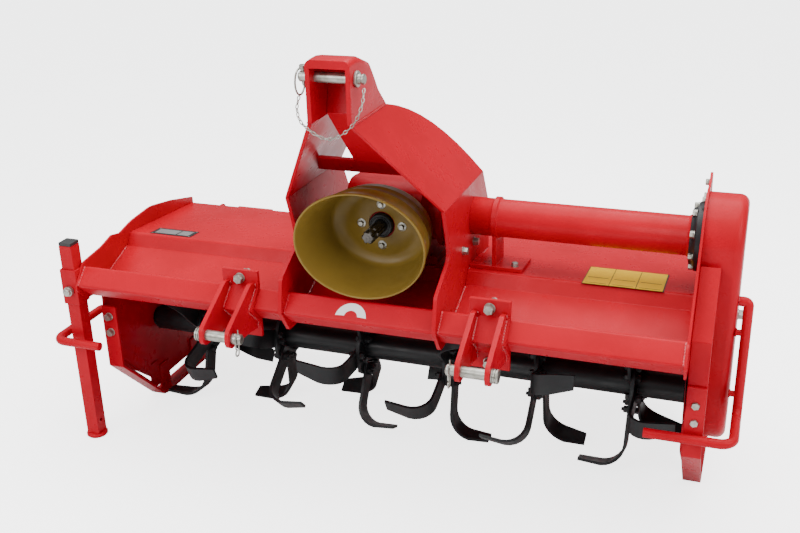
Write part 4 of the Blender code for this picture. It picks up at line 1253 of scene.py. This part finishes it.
# ---------------------------------------------------------------- mast
@dataclass
class Mast:
    """Mast plates, leaning arms, head, top pin and its safety chain.

    Attributes:
        datum: the machine's datum.
        pin: the top pin's centre in Y and Z.
        pin_radius: its radius.
        head_half: half the width of the head.
        cheek: thickness of its cheeks.
        crown: height of the head's top at places along Y.
        crown_round: radius of its upper edges.
        head_bottom: height of its lower edge.
        hollow: outline of the space between the cheeks, in Y and Z.
        link: pitch, half width and wire radius of the chain's links.
        hang: the points the chain hangs through.
        knee_bolts: places of the bolts on the mast plates in Y and Z.
    """

    datum: Datum
    pin: Pair = (0.038, 0.680)
    pin_radius: float = 0.0125
    head_half: float = 0.0545
    cheek: float = 0.011
    crown: Sequence[Pair] = ((0.002, 0.7255), (0.020, 0.7272), (0.045, 0.7280), (0.070, 0.7245),
                             (0.130, 0.7020), (0.155, 0.6700), (0.180, 0.6340), (0.2255, 0.5815))
    crown_round: float = 0.016
    head_bottom: float = 0.580
    hollow: Sequence[Pair] = ((-0.05, 0.53), (0.28, 0.53), (0.28, 0.680), (0.128, 0.692),
                              (0.045, 0.707), (-0.05, 0.705))
    link: Tuple[float, float, float] = (0.0105, 0.0042, 0.00125)
    hang: Sequence[Point] = ((-0.087, 0.036, 0.634), (-0.085, 0.016, 0.606),
                             (-0.062, -0.004, 0.577), (0.000, -0.012, 0.550),
                             (0.054, -0.006, 0.578), (0.076, 0.010, 0.622), (0.079, 0.026, 0.668))
    knee_bolts: Sequence[Pair] = ((0.342, 0.168), (0.448, 0.156))

    def make_pin(self) -> bpy.types.Object:
        """Make the top pin with its collar, handle and tail.

        Returns:
            The pin.
        """
        y, z = self.pin
        right, left, r = self.head_half + 0.0003, -self.head_half - 0.030, self.pin_radius
        handle = ((0, 0.018), (0.001, 0.019), (0.005, 0.019), (0.006, 0.018), (0.007, 0.012),
                  (0.012, 0.0115), (0.014, 0.0095), (0.016, 0.0095), (0.017, 0.012),
                  (0.020, 0.012), (0.022, 0.009), (0.022, 0))
        profile = [(left, 0), (left, r - 0.003), (left + 0.003, r), (right, r)]
        profile += [(right + along, radius) for along, radius in handle]
        piece = Mesher(self.datum)
        piece.turned(profile, Matrix.Translation((0, y, z)) @ turn_from_z((1, 0, 0)), segments=48)
        return piece.done("top_link_pin", ZINC, Body.FRAME, ("top_pin",))

    def make_head(self) -> bpy.types.Object:
        """Make the head: a block with well rounded top edges, hollowed from the front.

        Returns:
            The head.
        """
        half, bottom = self.head_half, self.head_bottom
        block = Mesher(self.datum)
        rings = []
        for y, top in self.crown:
            radius = min(self.crown_round, top - bottom - 0.0005)
            section = [(half, bottom)] + arc((half - radius, top - radius), radius, 0, 90, 7)
            section += arc((radius - half, top - radius), radius, 90, 180, 7) + [(-half, bottom)]
            rings.append(block.ring([(x, y, z) for x, z in section]))
        block.skin(rings)
        hollow = Mesher(self.datum)
        hollow.prism(self.hollow, Axis.X, self.cheek - half, half - self.cheek)
        mesh = carve(block.loose("head_block"), hollow.loose("head_hollow"))
        return dress(placed("mast_head_block", mesh), RED, Body.FRAME, ("mast_head",),
                     edge=0.0018, angle=35)

    def make_linch(self) -> bpy.types.Object:
        """Make the linch pin through the tail, with its ring.

        Returns:
            The linch pin and its ring, as one piece.
        """
        y, z = self.pin
        x = -self.head_half - 0.020
        piece = Mesher(self.datum)
        profile = [(-0.022, 0), (-0.022, 0.002), (-0.016, 0.0042), (0.014, 0.0042),
                   (0.015, 0.0075), (0.017, 0.0085), (0.025, 0.0085), (0.027, 0.0070),
                   (0.027, 0)]
        piece.turned(profile, Matrix.Translation((x, y, z)), segments=24)
        ring = [(x - 0.011, y + 0.004 + 0.027 * v, z - 0.014 + 0.030 * u)
                for u, v in circle(1.0, 44)]
        piece.swept(ring, radius=0.0023, segments=12, closed=True)
        neck = [(x - 0.0095, y, z + 0.016), (x - 0.004, y, z + 0.0195), (x, y, z + 0.020)]
        piece.swept(neck, radius=0.0024, segments=12)
        return piece.done("linch_pin", ZINC, Body.FRAME)

    def chain_route(self) -> List[Vector]:
        """The chain's smooth route, cut into equal steps of one pitch.

        Returns:
            The points where the links meet.
        """
        knots = [Vector(p) for p in self.hang]
        knots = [knots[0] * 2 - knots[1]] + knots + [knots[-1] * 2 - knots[-2]]
        fine: List[Vector] = []
        for a, b, c, d in zip(knots, knots[1:], knots[2:], knots[3:]):
            for k in range(24):
                t = k / 24
                fine.append(0.5 * (2 * b + (c - a) * t + (2 * a - 5 * b + 4 * c - d) * t * t
                                   + (3 * b - a - 3 * c + d) * t ** 3))
        fine.append(knots[-2])
        route, left = [fine[0]], self.link[0]
        for one, two in zip(fine, fine[1:]):
            run = (two - one).length
            while run > left > 0:
                one = one.lerp(two, left / run)
                run = (two - one).length
                route.append(one)
                left = self.link[0]
            left -= run
        return route

    def make_chain(self) -> bpy.types.Object:
        """Make the chain from interlocked oval links.

        Returns:
            The chain.
        """
        pitch, half, wire = self.link
        piece = Mesher(self.datum)
        route = self.chain_route()
        for i, (one, two) in enumerate(zip(route, route[1:])):
            run = (two - one).normalized()
            side = run.cross(Vector((0, 1, 0))).normalized()
            if i % 2:
                side = run.cross(side)
            where = Matrix((side, run.cross(side) * -1, run)).transposed().to_4x4()
            where = Matrix.Translation((one + two) / 2) @ where
            flank = pitch / 2 + wire * 0.9 - half
            loop = [(p[0], 0, p[1] + flank) for p in arc((0, 0), half - wire, 0, 180, 7)]
            loop += [(p[0], 0, p[1] - flank) for p in arc((0, 0), half - wire, 180, 360, 7)]
            piece.swept([where @ Vector(p) for p in loop], wire, segments=8, closed=True)
        return piece.done("safety_chain", ZINC, Body.FRAME)

    def build(self) -> None:
        """Make the mast's pieces."""
        for node in ("mast_plate_left", "mast_plate_right", "mast_arm_left", "mast_arm_right",
                     "mast_brace", "head_back"):
            reskin(node, RED, edge=0.0016, angle=30)
        self.make_head()
        self.make_pin()
        self.make_linch()
        self.make_chain()
        beads, bolts = Mesher(self.datum), Mesher(self.datum)
        for side in (-1, 1):
            x = side * (self.head_half + 0.001)
            beads.bead((x, 0.004, self.head_bottom), (x, 0.222, self.head_bottom), 0.0026)
            for y, z in self.knee_bolts:
                bolts.bolt((side * 0.2150, y, z), (side, 0, 0), across=0.019)
        beads.done("mast_welds", RED_WELD, Body.FRAME)
        bolts.done("mast_bolts", ZINC, Body.FRAME)


# ---------------------------------------------------------------- drive line
@dataclass
class DriveLine:
    """Gearbox, splined stub, oval shield, cross tube and its bearing flange.

    Attributes:
        datum: the machine's datum.
        axis: the drive line's centre in Y and Z.
        front: the gearbox's front face.
        stub: tip of the splined stub in Y, its radius and its root radius.
        rim: the shield's rim in Y and its half widths.
        back: the shield's rear in Y and its half widths.
        wall: the shield's wall.
        tube: the cross tube's radius, its bore and the radius of its left flange.
        collar: the welded ring's centre in X, its length and radius.
        span: the cross tube's ends in X.
        housing: the bearing housing's ends in X.
        shield_bolts: radius of the bolts' circle and the bolts' width.
        bearing_bolts: radius of their circle, their width and the face they stand on.
    """

    datum: Datum
    axis: Pair = (0.450, 0.230)
    front: float = 0.318
    stub: Tuple[float, float, float] = (0.208, 0.0175, 0.0143)
    rim: Tuple[float, float, float] = (0.138, 0.178, 0.141)
    back: Tuple[float, float, float] = (0.3175, 0.146, 0.118)
    wall: float = 0.004
    tube: Tuple[float, float, float] = (0.051, 0.045, 0.086)
    collar: Tuple[float, float, float] = (0.281, 0.014, 0.0565)
    span: Pair = (0.1505, 0.7817)
    housing: Pair = (0.782, 0.8117)
    shield_bolts: Pair = (0.057, 0.013)
    bearing_bolts: Tuple[float, float, float] = (0.0765, 0.016, 0.7945)

    def spline_ring(self, outer: float, root: float) -> List[Pair]:
        """The section of a shaft with six splines.

        Args:
            outer: radius of the splines.
            root: radius between them.

        Returns:
            The section's points.
        """
        points: List[Pair] = []
        for k in range(6):
            for turn, radius in ((-15, root), (-13, outer), (0, outer), (13, outer), (15, root),
                                 (30, root)):
                angle = math.radians(60 * k + turn)
                points.append((radius * math.cos(angle), radius * math.sin(angle)))
        return points

    def make_stub(self) -> bpy.types.Object:
        """Make the splined input stub.

        Returns:
            The stub.
        """
        tip, outer, root = self.stub
        stations = ((tip, outer - 0.003, root - 0.0015), (tip + 0.003, outer, root),
                    (tip + 0.022, outer, root), (tip + 0.0245, root - 0.0005, root - 0.0006),
                    (tip + 0.0305, root - 0.0005, root - 0.0006), (tip + 0.033, outer, root),
                    (tip + 0.078, outer, root), (tip + 0.086, outer, outer - 0.0001),
                    (self.front - 0.0003, outer, outer - 0.0001))
        piece = Mesher(self.datum)
        rings = [piece.ring([(x, y, self.axis[1] + z) for x, z in self.spline_ring(*radii)])
                 for y, *radii in stations]
        piece.skin(rings)
        centre = Matrix.Translation((0, tip, self.axis[1])) @ turn_from_z((0, 1, 0))
        lip = [(-0.0006, 0.0030), (-0.0006, 0.0062), (0.002, 0.0062), (0.002, 0.0030)]
        piece.turned(lip, centre, segments=24)
        return piece.done("splined_stub", STEEL, Body.SHAFT, ("drive_shaft",), edge=0.0004,
                          angle=35)

    def make_seal(self) -> bpy.types.Object:
        """Make the oil seal round the stub.

        Returns:
            The seal.
        """
        steps = ((0.0003, 0.0195), (0.010, 0.0195), (0.012, 0.0185), (0.014, 0.0190),
                 (0.014, 0.0235), (0.0125, 0.0245), (0.0125, 0.0270), (0.016, 0.0280),
                 (0.016, 0.0300), (0.0145, 0.0320), (0.012, 0.0330), (0.0003, 0.0330))
        profile = [(self.front - proud, radius) for proud, radius in steps]
        piece = Mesher(self.datum)
        where = Matrix.Translation((0, 0, self.axis[1])) @ turn_from_z((0, 1, 0))
        piece.turned(profile, where, segments=72)
        return piece.done("shaft_seal", BLACK, Body.FRAME, ("seal_carrier",))

    def make_shield(self) -> bpy.types.Object:
        """Make the oval cup round the stub, with its rolled rim and stepped rear wall.

        Returns:
            The shield.
        """
        rim_y, rim_x, rim_z = self.rim
        rear_y, rear_x, rear_z = self.back
        hole, wall = 0.037, self.wall
        body = rear_y - 0.024
        outside = [(rear_y, hole, hole), (rear_y, rear_x - 0.026, rear_z - 0.026)]
        outside += [(body + 0.024 * math.cos(a), rear_x - 0.024 + 0.024 * math.sin(a),
                     rear_z - 0.024 + 0.024 * math.sin(a))
                    for a in (math.radians(15 * k) for k in range(1, 7))]
        for y, lift in ((0.270, 0), (0.266, 0.0022), (0.260, 0.0022), (0.256, 0), (0.226, 0),
                        (0.222, 0.0022), (0.216, 0.0022), (0.212, 0), (0.160, 0)):
            share = (body - y) / (body - rim_y)
            outside.append((y, rear_x + (rim_x - 0.003 - rear_x) * share + lift,
                            rear_z + (rim_z - 0.003 - rear_z) * share + lift))
        lip = ((0.012, 0.0015), (0.008, 0.0), (0.003, 0.0), (0.0006, 0.0012), (0.0, 0.0028),
               (0.0008, 0.0045), (0.004, 0.0058), (0.010, 0.0068))
        outside += [(rim_y + back, rim_x - inward, rim_z - inward) for back, inward in lip]
        inner_rear = rear_y - wall
        inside = [(0.200, 0.1590, 0.1260),
                  (body - 0.012, rear_x - wall + 0.002, rear_z - wall + 0.0015)]
        inside += [(body - 0.004 + 0.0205 * math.cos(a),
                    rear_x - wall - 0.020 + 0.020 * math.sin(a),
                    rear_z - wall - 0.020 + 0.020 * math.sin(a))
                   for a in (math.radians(90 - 15 * k) for k in range(0, 6))]
        inside += [(inner_rear, rear_x - 0.030, rear_z - 0.028), (inner_rear, 0.088, 0.082),
                   (inner_rear - 0.0012, 0.086, 0.080),
                   (inner_rear - 0.0012, hole + 0.006, hole + 0.006),
                   (inner_rear - 0.0004, hole, hole)]
        piece = Mesher(self.datum)
        rings = []
        for y, half_x, half_z in outside + inside:
            points = [(half_x * u, y, self.axis[1] + half_z * v) for u, v in circle(1.0, 144)]
            rings.append(piece.ring(points))
        piece.skin(rings, closed=True)
        return piece.done("shaft_shield", YELLOW, Body.FRAME, ("drive_shield",), angle=50)

    def make_tube(self) -> bpy.types.Object:
        """Make the cross tube with its left flange and welded ring.

        Returns:
            The tube.
        """
        radius, bore, flange = self.tube
        middle, length, collar = self.collar
        left, right = self.span
        profile = [(left, bore), (left, flange - 0.001), (left + 0.001, flange),
                   (left + 0.013, flange), (left + 0.014, flange - 0.001),
                   (left + 0.014, radius + 0.006), (left + 0.016, radius + 0.004),
                   (left + 0.020, radius)]
        welded = ((0.004, radius), (0.001, radius + 0.002), (0.0, radius + 0.003),
                  (0.0, collar - 0.001), (-0.001, collar))
        profile += [(middle - length / 2 - out, reach) for out, reach in welded]
        profile += [(middle + length / 2 + out, reach) for out, reach in reversed(welded)]
        profile += [(right - 0.008, radius), (right - 0.004, radius + 0.002),
                    (right, radius + 0.005), (right, bore)]
        piece = Mesher(self.datum)
        where = Matrix.Translation((0, *self.axis)) @ turn_from_z((1, 0, 0))
        piece.turned(profile, where, segments=96)
        return piece.done("cross_tube_turned", RED, Body.FRAME, ("cross_tube",), angle=40)

    def make_flange(self) -> bpy.types.Object:
        """Make the black bearing housing with its stepped flange.

        Returns:
            The housing.
        """
        low, high = self.housing
        profile = [(low, 0.052), (low, 0.068), (low + 0.001, 0.0705), (low + 0.006, 0.073),
                   (low + 0.012, 0.078), (low + 0.014, 0.086), (low + 0.0155, 0.088),
                   (high - 0.001, 0.088), (high, 0.087), (high, 0.052)]
        piece = Mesher(self.datum)
        where = Matrix.Translation((0, *self.axis)) @ turn_from_z((1, 0, 0))
        piece.turned(profile, where, segments=72)
        return piece.done("bearing_housing", BLACK, Body.FRAME, ("bearing_flange",), angle=40)

    def make_bolts(self) -> None:
        """Make the four bolts in the shield and the eight round the bearing."""
        reach, across = self.shield_bolts
        face = self.back[0] - self.wall - 0.0012
        shield = Mesher(self.datum)
        for x, z in circle(reach, 4, centre=(0.0, self.axis[1])):
            shield.bolt((x, face, z), (0, -1, 0), across, washer=0.95)
        shield.done("shield_bolts", ZINC, Body.FRAME)
        reach, across, face = self.bearing_bolts
        bearing = Mesher(self.datum)
        for y, z in circle(reach, 8, turn=math.pi / 8, centre=self.axis):
            bearing.bolt((face, y, z), (-1, 0, 0), across)
        bearing.done("bearing_bolts", ZINC, Body.FRAME)

    def build(self) -> None:
        """Make the drive line's pieces."""
        reskin("gearbox", RED_CAST, edge=0.007, angle=40)
        reskin("gearbox_seat", RED, edge=0.0015)
        reskin("tube_foot", RED, edge=0.0015)
        self.make_stub()
        self.make_seal()
        self.make_shield()
        self.make_tube()
        self.make_flange()
        self.make_bolts()


# ---------------------------------------------------------------- lower hitch
@dataclass
class HitchBracket:
    """One lower hitch bracket: clevis, rear clamp, bolts, pin and clip.

    Attributes:
        datum: the machine's datum.
        side: the side it is on, -1 or 1.
        span: distance of the bracket's middle from the datum.
        ear_gap: gap between the ears.
        ear: thickness of an ear.
        pin_radius: the pin's radius.
        flange: the front face that the bolts clamp.
        clamp_rear: the clamp bar's rear face.
        bolt_heights: heights of the upper and lower bolt.
        across: the bolts' width across the flats.
        seam: the ears' front seam from the top down, in Y and Z.
        bead: radius of the weld beads.
    """

    datum: Datum
    side: int
    span: float = 0.3415
    ear_gap: float = 0.062
    ear: float = 0.012
    pin_radius: float = 0.014
    flange: float = 0.1417
    clamp_rear: float = 0.1623
    bolt_heights: Pair = (0.107, -0.042)
    across: float = 0.024
    seam: Sequence[Pair] = ((0.1417, 0.095), (0.1417, 0.0815), (0.0922, 0.035),
                            (0.1417, -0.0115), (0.1417, -0.032))
    bead: float = 0.0044

    @property
    def hand(self) -> str:
        """The word for the bracket's side."""
        return "left" if self.side < 0 else "right"

    def make_pin(self) -> bpy.types.Object:
        """Make the lower pin, its grooved head outwards and its tail towards the middle.

        Returns:
            The pin.
        """
        half = self.ear_gap / 2 + self.ear
        r = self.pin_radius
        head = ((0.0003, r), (0.0003, 0.0175), (0.001, 0.018), (0.004, 0.018), (0.0045, 0.0155),
                (0.0065, 0.0155), (0.007, 0.018), (0.010, 0.018), (0.0105, 0.0155),
                (0.0125, 0.0155), (0.013, 0.018), (0.016, 0.018), (0.018, 0.016), (0.018, 0))
        profile = [(-half - 0.026, 0), (-half - 0.026, r - 0.003), (-half - 0.023, r)]
        profile += [(half + out, radius) for out, radius in head]
        centre = self.side * self.span
        flip = turn_from_z((self.side, 0, 0))
        piece = Mesher(self.datum)
        piece.turned(profile, Matrix.Translation((centre, 0, 0)) @ flip, segments=48)
        return piece.done("lower_pin_" + self.hand, ZINC, Body.FRAME, ("hitch_pin_" + self.hand,))

    def make_clip(self) -> bpy.types.Object:
        """Make the spring clip through the pin's tail.

        Returns:
            The clip.
        """
        x = self.side * (self.span - self.ear_gap / 2 - self.ear - 0.016)
        piece = Mesher(self.datum)
        leg = [(x, 0.0, 0.026), (x, 0.0, 0.0), (x, -0.0015, -0.030)]
        loop = [(x, y, z) for y, z in arc((-0.010, -0.034), 0.0085, 0, -270, 18)]
        outer = [(x, -0.0165, -0.020), (x, -0.0170, 0.0), (x, -0.0115, 0.0135),
                 (x, -0.0150, 0.0200)]
        route = rounded_path(leg + loop[1:] + outer, bend=0.004, steps=3)
        piece.swept(route, radius=0.0021, segments=10)
        return piece.done("spring_clip_" + self.hand, ZINC, Body.FRAME)

    def build(self) -> None:
        """Make the bracket's pieces."""
        reskin("hitch_bracket_" + self.hand, RED, edge=0.0018, angle=30)
        reskin("bracket_clamp_" + self.hand, RED, edge=0.0014, angle=30)
        self.make_pin()
        self.make_clip()
        centre = self.side * self.span
        upper, lower = self.bolt_heights
        bolts = Mesher(self.datum)
        bolts.bolt((centre, self.flange, upper), (0, -1, 0), self.across, washer=0.60)
        bolts.bolt((centre, self.flange, lower), (0, -1, 0), self.across)
        bolts.bolt((centre, self.clamp_rear, upper), (0, 1, 0), self.across, stud=0.012)
        bolts.done("bracket_bolts_" + self.hand, ZINC, Body.FRAME)
        beads = Mesher(self.datum)
        inset = 0.0006
        for way in (-1, 1):
            for reach in (self.ear_gap / 2 + self.ear + inset, self.ear_gap / 2 - inset):
                x = centre + way * reach
                for one, two in zip(self.seam, self.seam[1:]):
                    beads.bead((x,) + one, (x,) + two, self.bead)
        beads.done("bracket_welds_" + self.hand, RED_WELD, Body.FRAME)


# ---------------------------------------------------------------- ends
@dataclass
class Ends:
    """Chain case, its bar, the skids, the guards and the parking stand.

    Attributes:
        datum: the machine's datum.
        case_x: the case's inner and outer face.
        upper: the centre of the case's upper round in Y and Z.
        lower: the centre of the lower one.
        radius: radius of both rounds.
        rim: radius of the case's outer edge.
        wall: the case's wall.
        guard: radius of the guards' bar.
        guard_bend: radius of the left guard's bends, then of the right one's.
        stay: radius of the right guard's two stays.
        stays: the stays' heights.
        web: the slanting edge above the left skid, its front and rear end in Y and Z.
        web_x: the web's faces.
        case_circle: radius of the bolts' circle round the case's upper centre.
        case_face: the face these bolts stand on.
        skid_bolts: places of the bolts in the case bar and the left skid.
        plug: place of the case's plug in Y and Z.
    """

    datum: Datum
    case_x: Pair = (0.8183, 0.9143)
    upper: Pair = (0.450, 0.230)
    lower: Pair = (0.480, -0.223)
    radius: float = 0.116
    rim: float = 0.024
    wall: float = 0.006
    guard: float = 0.0125
    guard_bend: Pair = (0.030, 0.034)
    stay: float = 0.008
    stays: Sequence[float] = (0.017, -0.150)
    web: Tuple[Pair, Pair] = ((0.2138, -0.2625), (0.4010, -0.4505))
    web_x: Pair = (-0.8382, -0.8352)
    case_circle: float = 0.106
    case_face: float = 0.8120
    skid_bolts: Sequence[Point] = ((0.8423, 0.2135, -0.117), (0.8423, 0.2135, -0.165),
                                   (-0.821, 0.2055, -0.100), (-0.821, 0.2055, -0.150))
    plug: Pair = (0.470, 0.020)

    def case_outline(self, radius: float) -> List[Pair]:
        """The case's side view at a radius.

        Args:
            radius: radius of both rounds.

        Returns:
            The outline in Y and Z.
        """
        back, down = self.lower[0] - self.upper[0], self.upper[1] - self.lower[1]
        tilt = math.degrees(math.atan2(back, down))
        return (arc(self.upper, radius, 180 - tilt, -tilt, 32)
                + arc(self.lower, radius, -tilt, -180 - tilt, 32))[::-1]

    def make_case(self) -> bpy.types.Object:
        """Make the chain case with its rolled outer edge.

        Returns:
            The case.
        """
        low, high = self.case_x
        start, radius = high - self.rim, self.radius - self.rim
        loops = [(start, self.radius - self.wall), (low, self.radius - self.wall),
                 (low, self.radius)]
        loops += [(start + self.rim * math.sin(a), radius + self.rim * math.cos(a))
                  for a in (math.radians(9 * k) for k in range(11))]
        piece = Mesher(self.datum)
        rings = [piece.ring([(x, y, z) for y, z in self.case_outline(r)]) for x, r in loops]
        piece.skin(rings)
        return piece.done("case_shell", RED, Body.FRAME, ("chain_case",), angle=40)

    def make_left_guard(self) -> bpy.types.Object:
        """Make the bent guard beside the left end plate.

        Returns:
            The guard.
        """
        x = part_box("guard_left")[0][0] - self.datum.x + self.guard
        front, rear, height = 0.088, 0.330, -0.136
        points = [(-0.8453, rear, height), (x, rear, height), (x, front, height),
                  (-0.778, front, height)]
        piece = Mesher(self.datum)
        piece.swept(rounded_path(points, self.guard_bend[0], 14), self.guard, segments=28)
        return piece.done("guard_bar_left", RED, Body.FRAME, ("guard_left",), edge=0.0018,
                          angle=50)

    def make_right_guard(self) -> bpy.types.Object:
        """Make the bent guard beside the chain case, with its two stays.

        Returns:
            The guard.
        """
        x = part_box("guard_right")[1][0] - self.datum.x - self.guard
        case = self.case_x[1] + 0.0003
        (rear, top), (front, bottom) = (0.372, 0.100), (0.352, -0.205)
        points = [(case, rear, top), (x, rear, top), (x, front, bottom), (x, 0.1927, bottom),
                  (0.724, 0.1927, bottom)]
        piece = Mesher(self.datum)
        piece.swept(rounded_path(points, self.guard_bend[1], 14), self.guard, segments=28)
        for z in self.stays:
            y = front + (rear - front) * (z - bottom) / (top - bottom)
            piece.swept([(case, y, z), (x, y, z)], self.stay, segments=20)
            seam = circle(self.stay + 0.0008, 24, centre=(y, z))
            piece.swept([(case + 0.0004, u, v) for u, v in seam], radius=0.0026, segments=8,
                        closed=True)
        return piece.done("guard_bar_right", RED, Body.FRAME, ("guard_right",), edge=0.0018,
                          angle=50)

    def make_web(self) -> bpy.types.Object:
        """Make the web between the left skid and the end plate, with its slanting slot.

        Returns:
            The web.
        """
        (front, knee), (toe, shoe) = self.web
        left, right = self.web_x
        slope = (shoe - knee) / (toe - front)
        piece = Mesher(self.datum)
        for near, far in ((0.0022, 0.0280), (0.0420, 0.0900)):
            outline = [(front, knee - 0.001 + near), (toe, shoe + near),
                       (toe + 0.040, shoe + near), (toe + 0.040, shoe + far), (toe, shoe + far),
                       (front, knee + far)]
            piece.prism(outline, Axis.X, left, right)
        for y, width in ((front, 0.052), (toe - 0.008, 0.048)):
            z = knee + (y - front) * slope
            end = max(z + slope * width, shoe)
            outline = [(y, z + 0.0022), (y + width, end + 0.0022), (y + width, end + 0.060),
                       (y, z + 0.060)]
            piece.prism(outline, Axis.X, left + 0.0001, right - 0.0001)
        return piece.done("skid_web_left", RED, Body.FRAME, edge=0.0006, angle=40)

    def make_bolts(self) -> None:
        """Make the bolts of the case bar, the skids and the ear, and the case's plug."""
        zinc = Mesher(self.datum)
        for place in self.skid_bolts:
            zinc.bolt(place, (0, -1, 0), across=0.019)
        for y, z in arc(self.upper, self.case_circle, 100, 24, 2):
            zinc.bolt((self.case_face, y, z), (-1, 0, 0), across=0.013)
        zinc.bolt((self.case_face, 0.528, 0.350), (-1, 0, 0), across=0.014)
        zinc.done("end_bolts", ZINC, Body.FRAME)
        plugs = Mesher(self.datum)
        plugs.bolt((self.case_x[1] - 0.0002, *self.plug), (1, 0, 0), across=0.022)
        plugs.done("case_plugs", ZINC, Body.FRAME)

    def build(self) -> None:
        """Make the pieces at both ends."""
        self.make_case()
        for node in ("case_bar", "skid_left", "skid_right"):
            reskin(node, RED, edge=0.0016, angle=30)
        reskin("rotor_bearing", BLACK, edge=0.001, angle=50)
        self.make_left_guard()
        self.make_right_guard()
        self.make_web()
        self.make_bolts()
        reskin("stand_sleeve", RED, edge=0.0016)
        reskin("stand_leg", RED, edge=0.0030)
        reskin("stand_foot", RED, edge=0.0010, angle=50)
        reskin("stand_cap", BLACK_PLASTIC, edge=0.0022)
        reskin("stand_bolt", ZINC, edge=0.0006, angle=50)


# ---------------------------------------------------------------- rotor and tailboard
@dataclass
class Rotor:
    """The rotor's tube, axles, tine groups and the tines' bolts.

    Attributes:
        datum: the machine's datum.
        axis: the rotor's centre in Y and Z.
        hubs: first hub's X, last hub's X and the number of hubs.
        lead: first group's lead and the step from group to group, in degrees.
        tines: tines in a group.
        hub: half a hub's thickness.
        tine: a tine's thickness.
        bolts: a tine's two bolts: place outwards from the axis, then across the tine.
        across: the bolts' width across the flats.
    """

    datum: Datum
    axis: Pair = (0.480, -0.223)
    hubs: Tuple[float, float, int] = (-0.645, 0.668, 6)
    lead: Pair = (66, -21.6)
    tines: int = 6
    hub: float = 0.005
    tine: float = 0.008
    bolts: Sequence[Pair] = ((0.076, -0.012), (0.060, 0.010))
    across: float = 0.017

    def make_bolts(self) -> bpy.types.Object:
        """Make the two bolts of every tine.

        Returns:
            All the bolts, as one piece.
        """
        piece = Mesher(self.datum)
        first, last, count = self.hubs
        y, z = self.axis
        for index in range(count):
            x = first + (last - first) * index / (count - 1)
            for k in range(self.tines):
                side = 1 if k % 2 == 0 else -1
                phase = -math.radians(self.lead[0] + self.lead[1] * index)
                phase += 2 * math.pi * k / self.tines
                for out, aside in self.bolts:
                    py = y + (aside * math.cos(phase) + out * math.sin(phase))
                    pz = z + (aside * math.sin(phase) - out * math.cos(phase))
                    face = x + side * (self.hub + self.tine - 0.0007)
                    piece.bolt((face, py, pz), (side, 0, 0), self.across, stud=0.006)
                    piece.bolt((x - side * self.hub, py, pz), (-side, 0, 0), self.across)
        return piece.done("tine_bolts", BLACK, Body.ROTOR)

    def build(self) -> None:
        """Make the rotor's pieces."""
        reskin("rotor_tube", BLACK, edge=0.0010, angle=50)
        for index in range(self.hubs[2]):
            reskin("tine_group_" + str(index + 1), BLACK, edge=0.0011, angle=30)
        self.make_bolts()


def dress_rest() -> None:
    """Give every frame node that still shows its own finish."""
    finishes = {"red_paint": RED, "black_paint": BLACK, "yellow_plastic": YELLOW, "zinc": ZINC,
                "steel": STEEL, "black_plastic": BLACK_PLASTIC}
    slots = {part["node"]: part["material_slot"] for part in frame["record"]["subparts"]}
    for node, item in frame["nodes"].items():
        made = finishes[slots[node]].material()
        item.data.materials.clear()
        item.data.materials.append(made)
        log.info("node %s is %s", node, made.name)


def main() -> None:
    """Build the studio and every sub-assembly, in order."""
    logging.basicConfig(level=logging.INFO, format="%(name)s: %(message)s")
    datum = Datum.from_frame()
    log.info("datum at %.4f %.4f %.4f", datum.x, datum.y, datum.z)
    Studio(datum).build()
    dress_rest()
    Housing(datum).build()
    Mast(datum).build()
    DriveLine(datum).build()
    for side in (-1, 1):
        HitchBracket(datum, side).build()
    Ends(datum).build()
    Rotor(datum).build()
    reskin("tailboard", RED, edge=0.0010, angle=40)


if __name__ == "__main__":
    main()
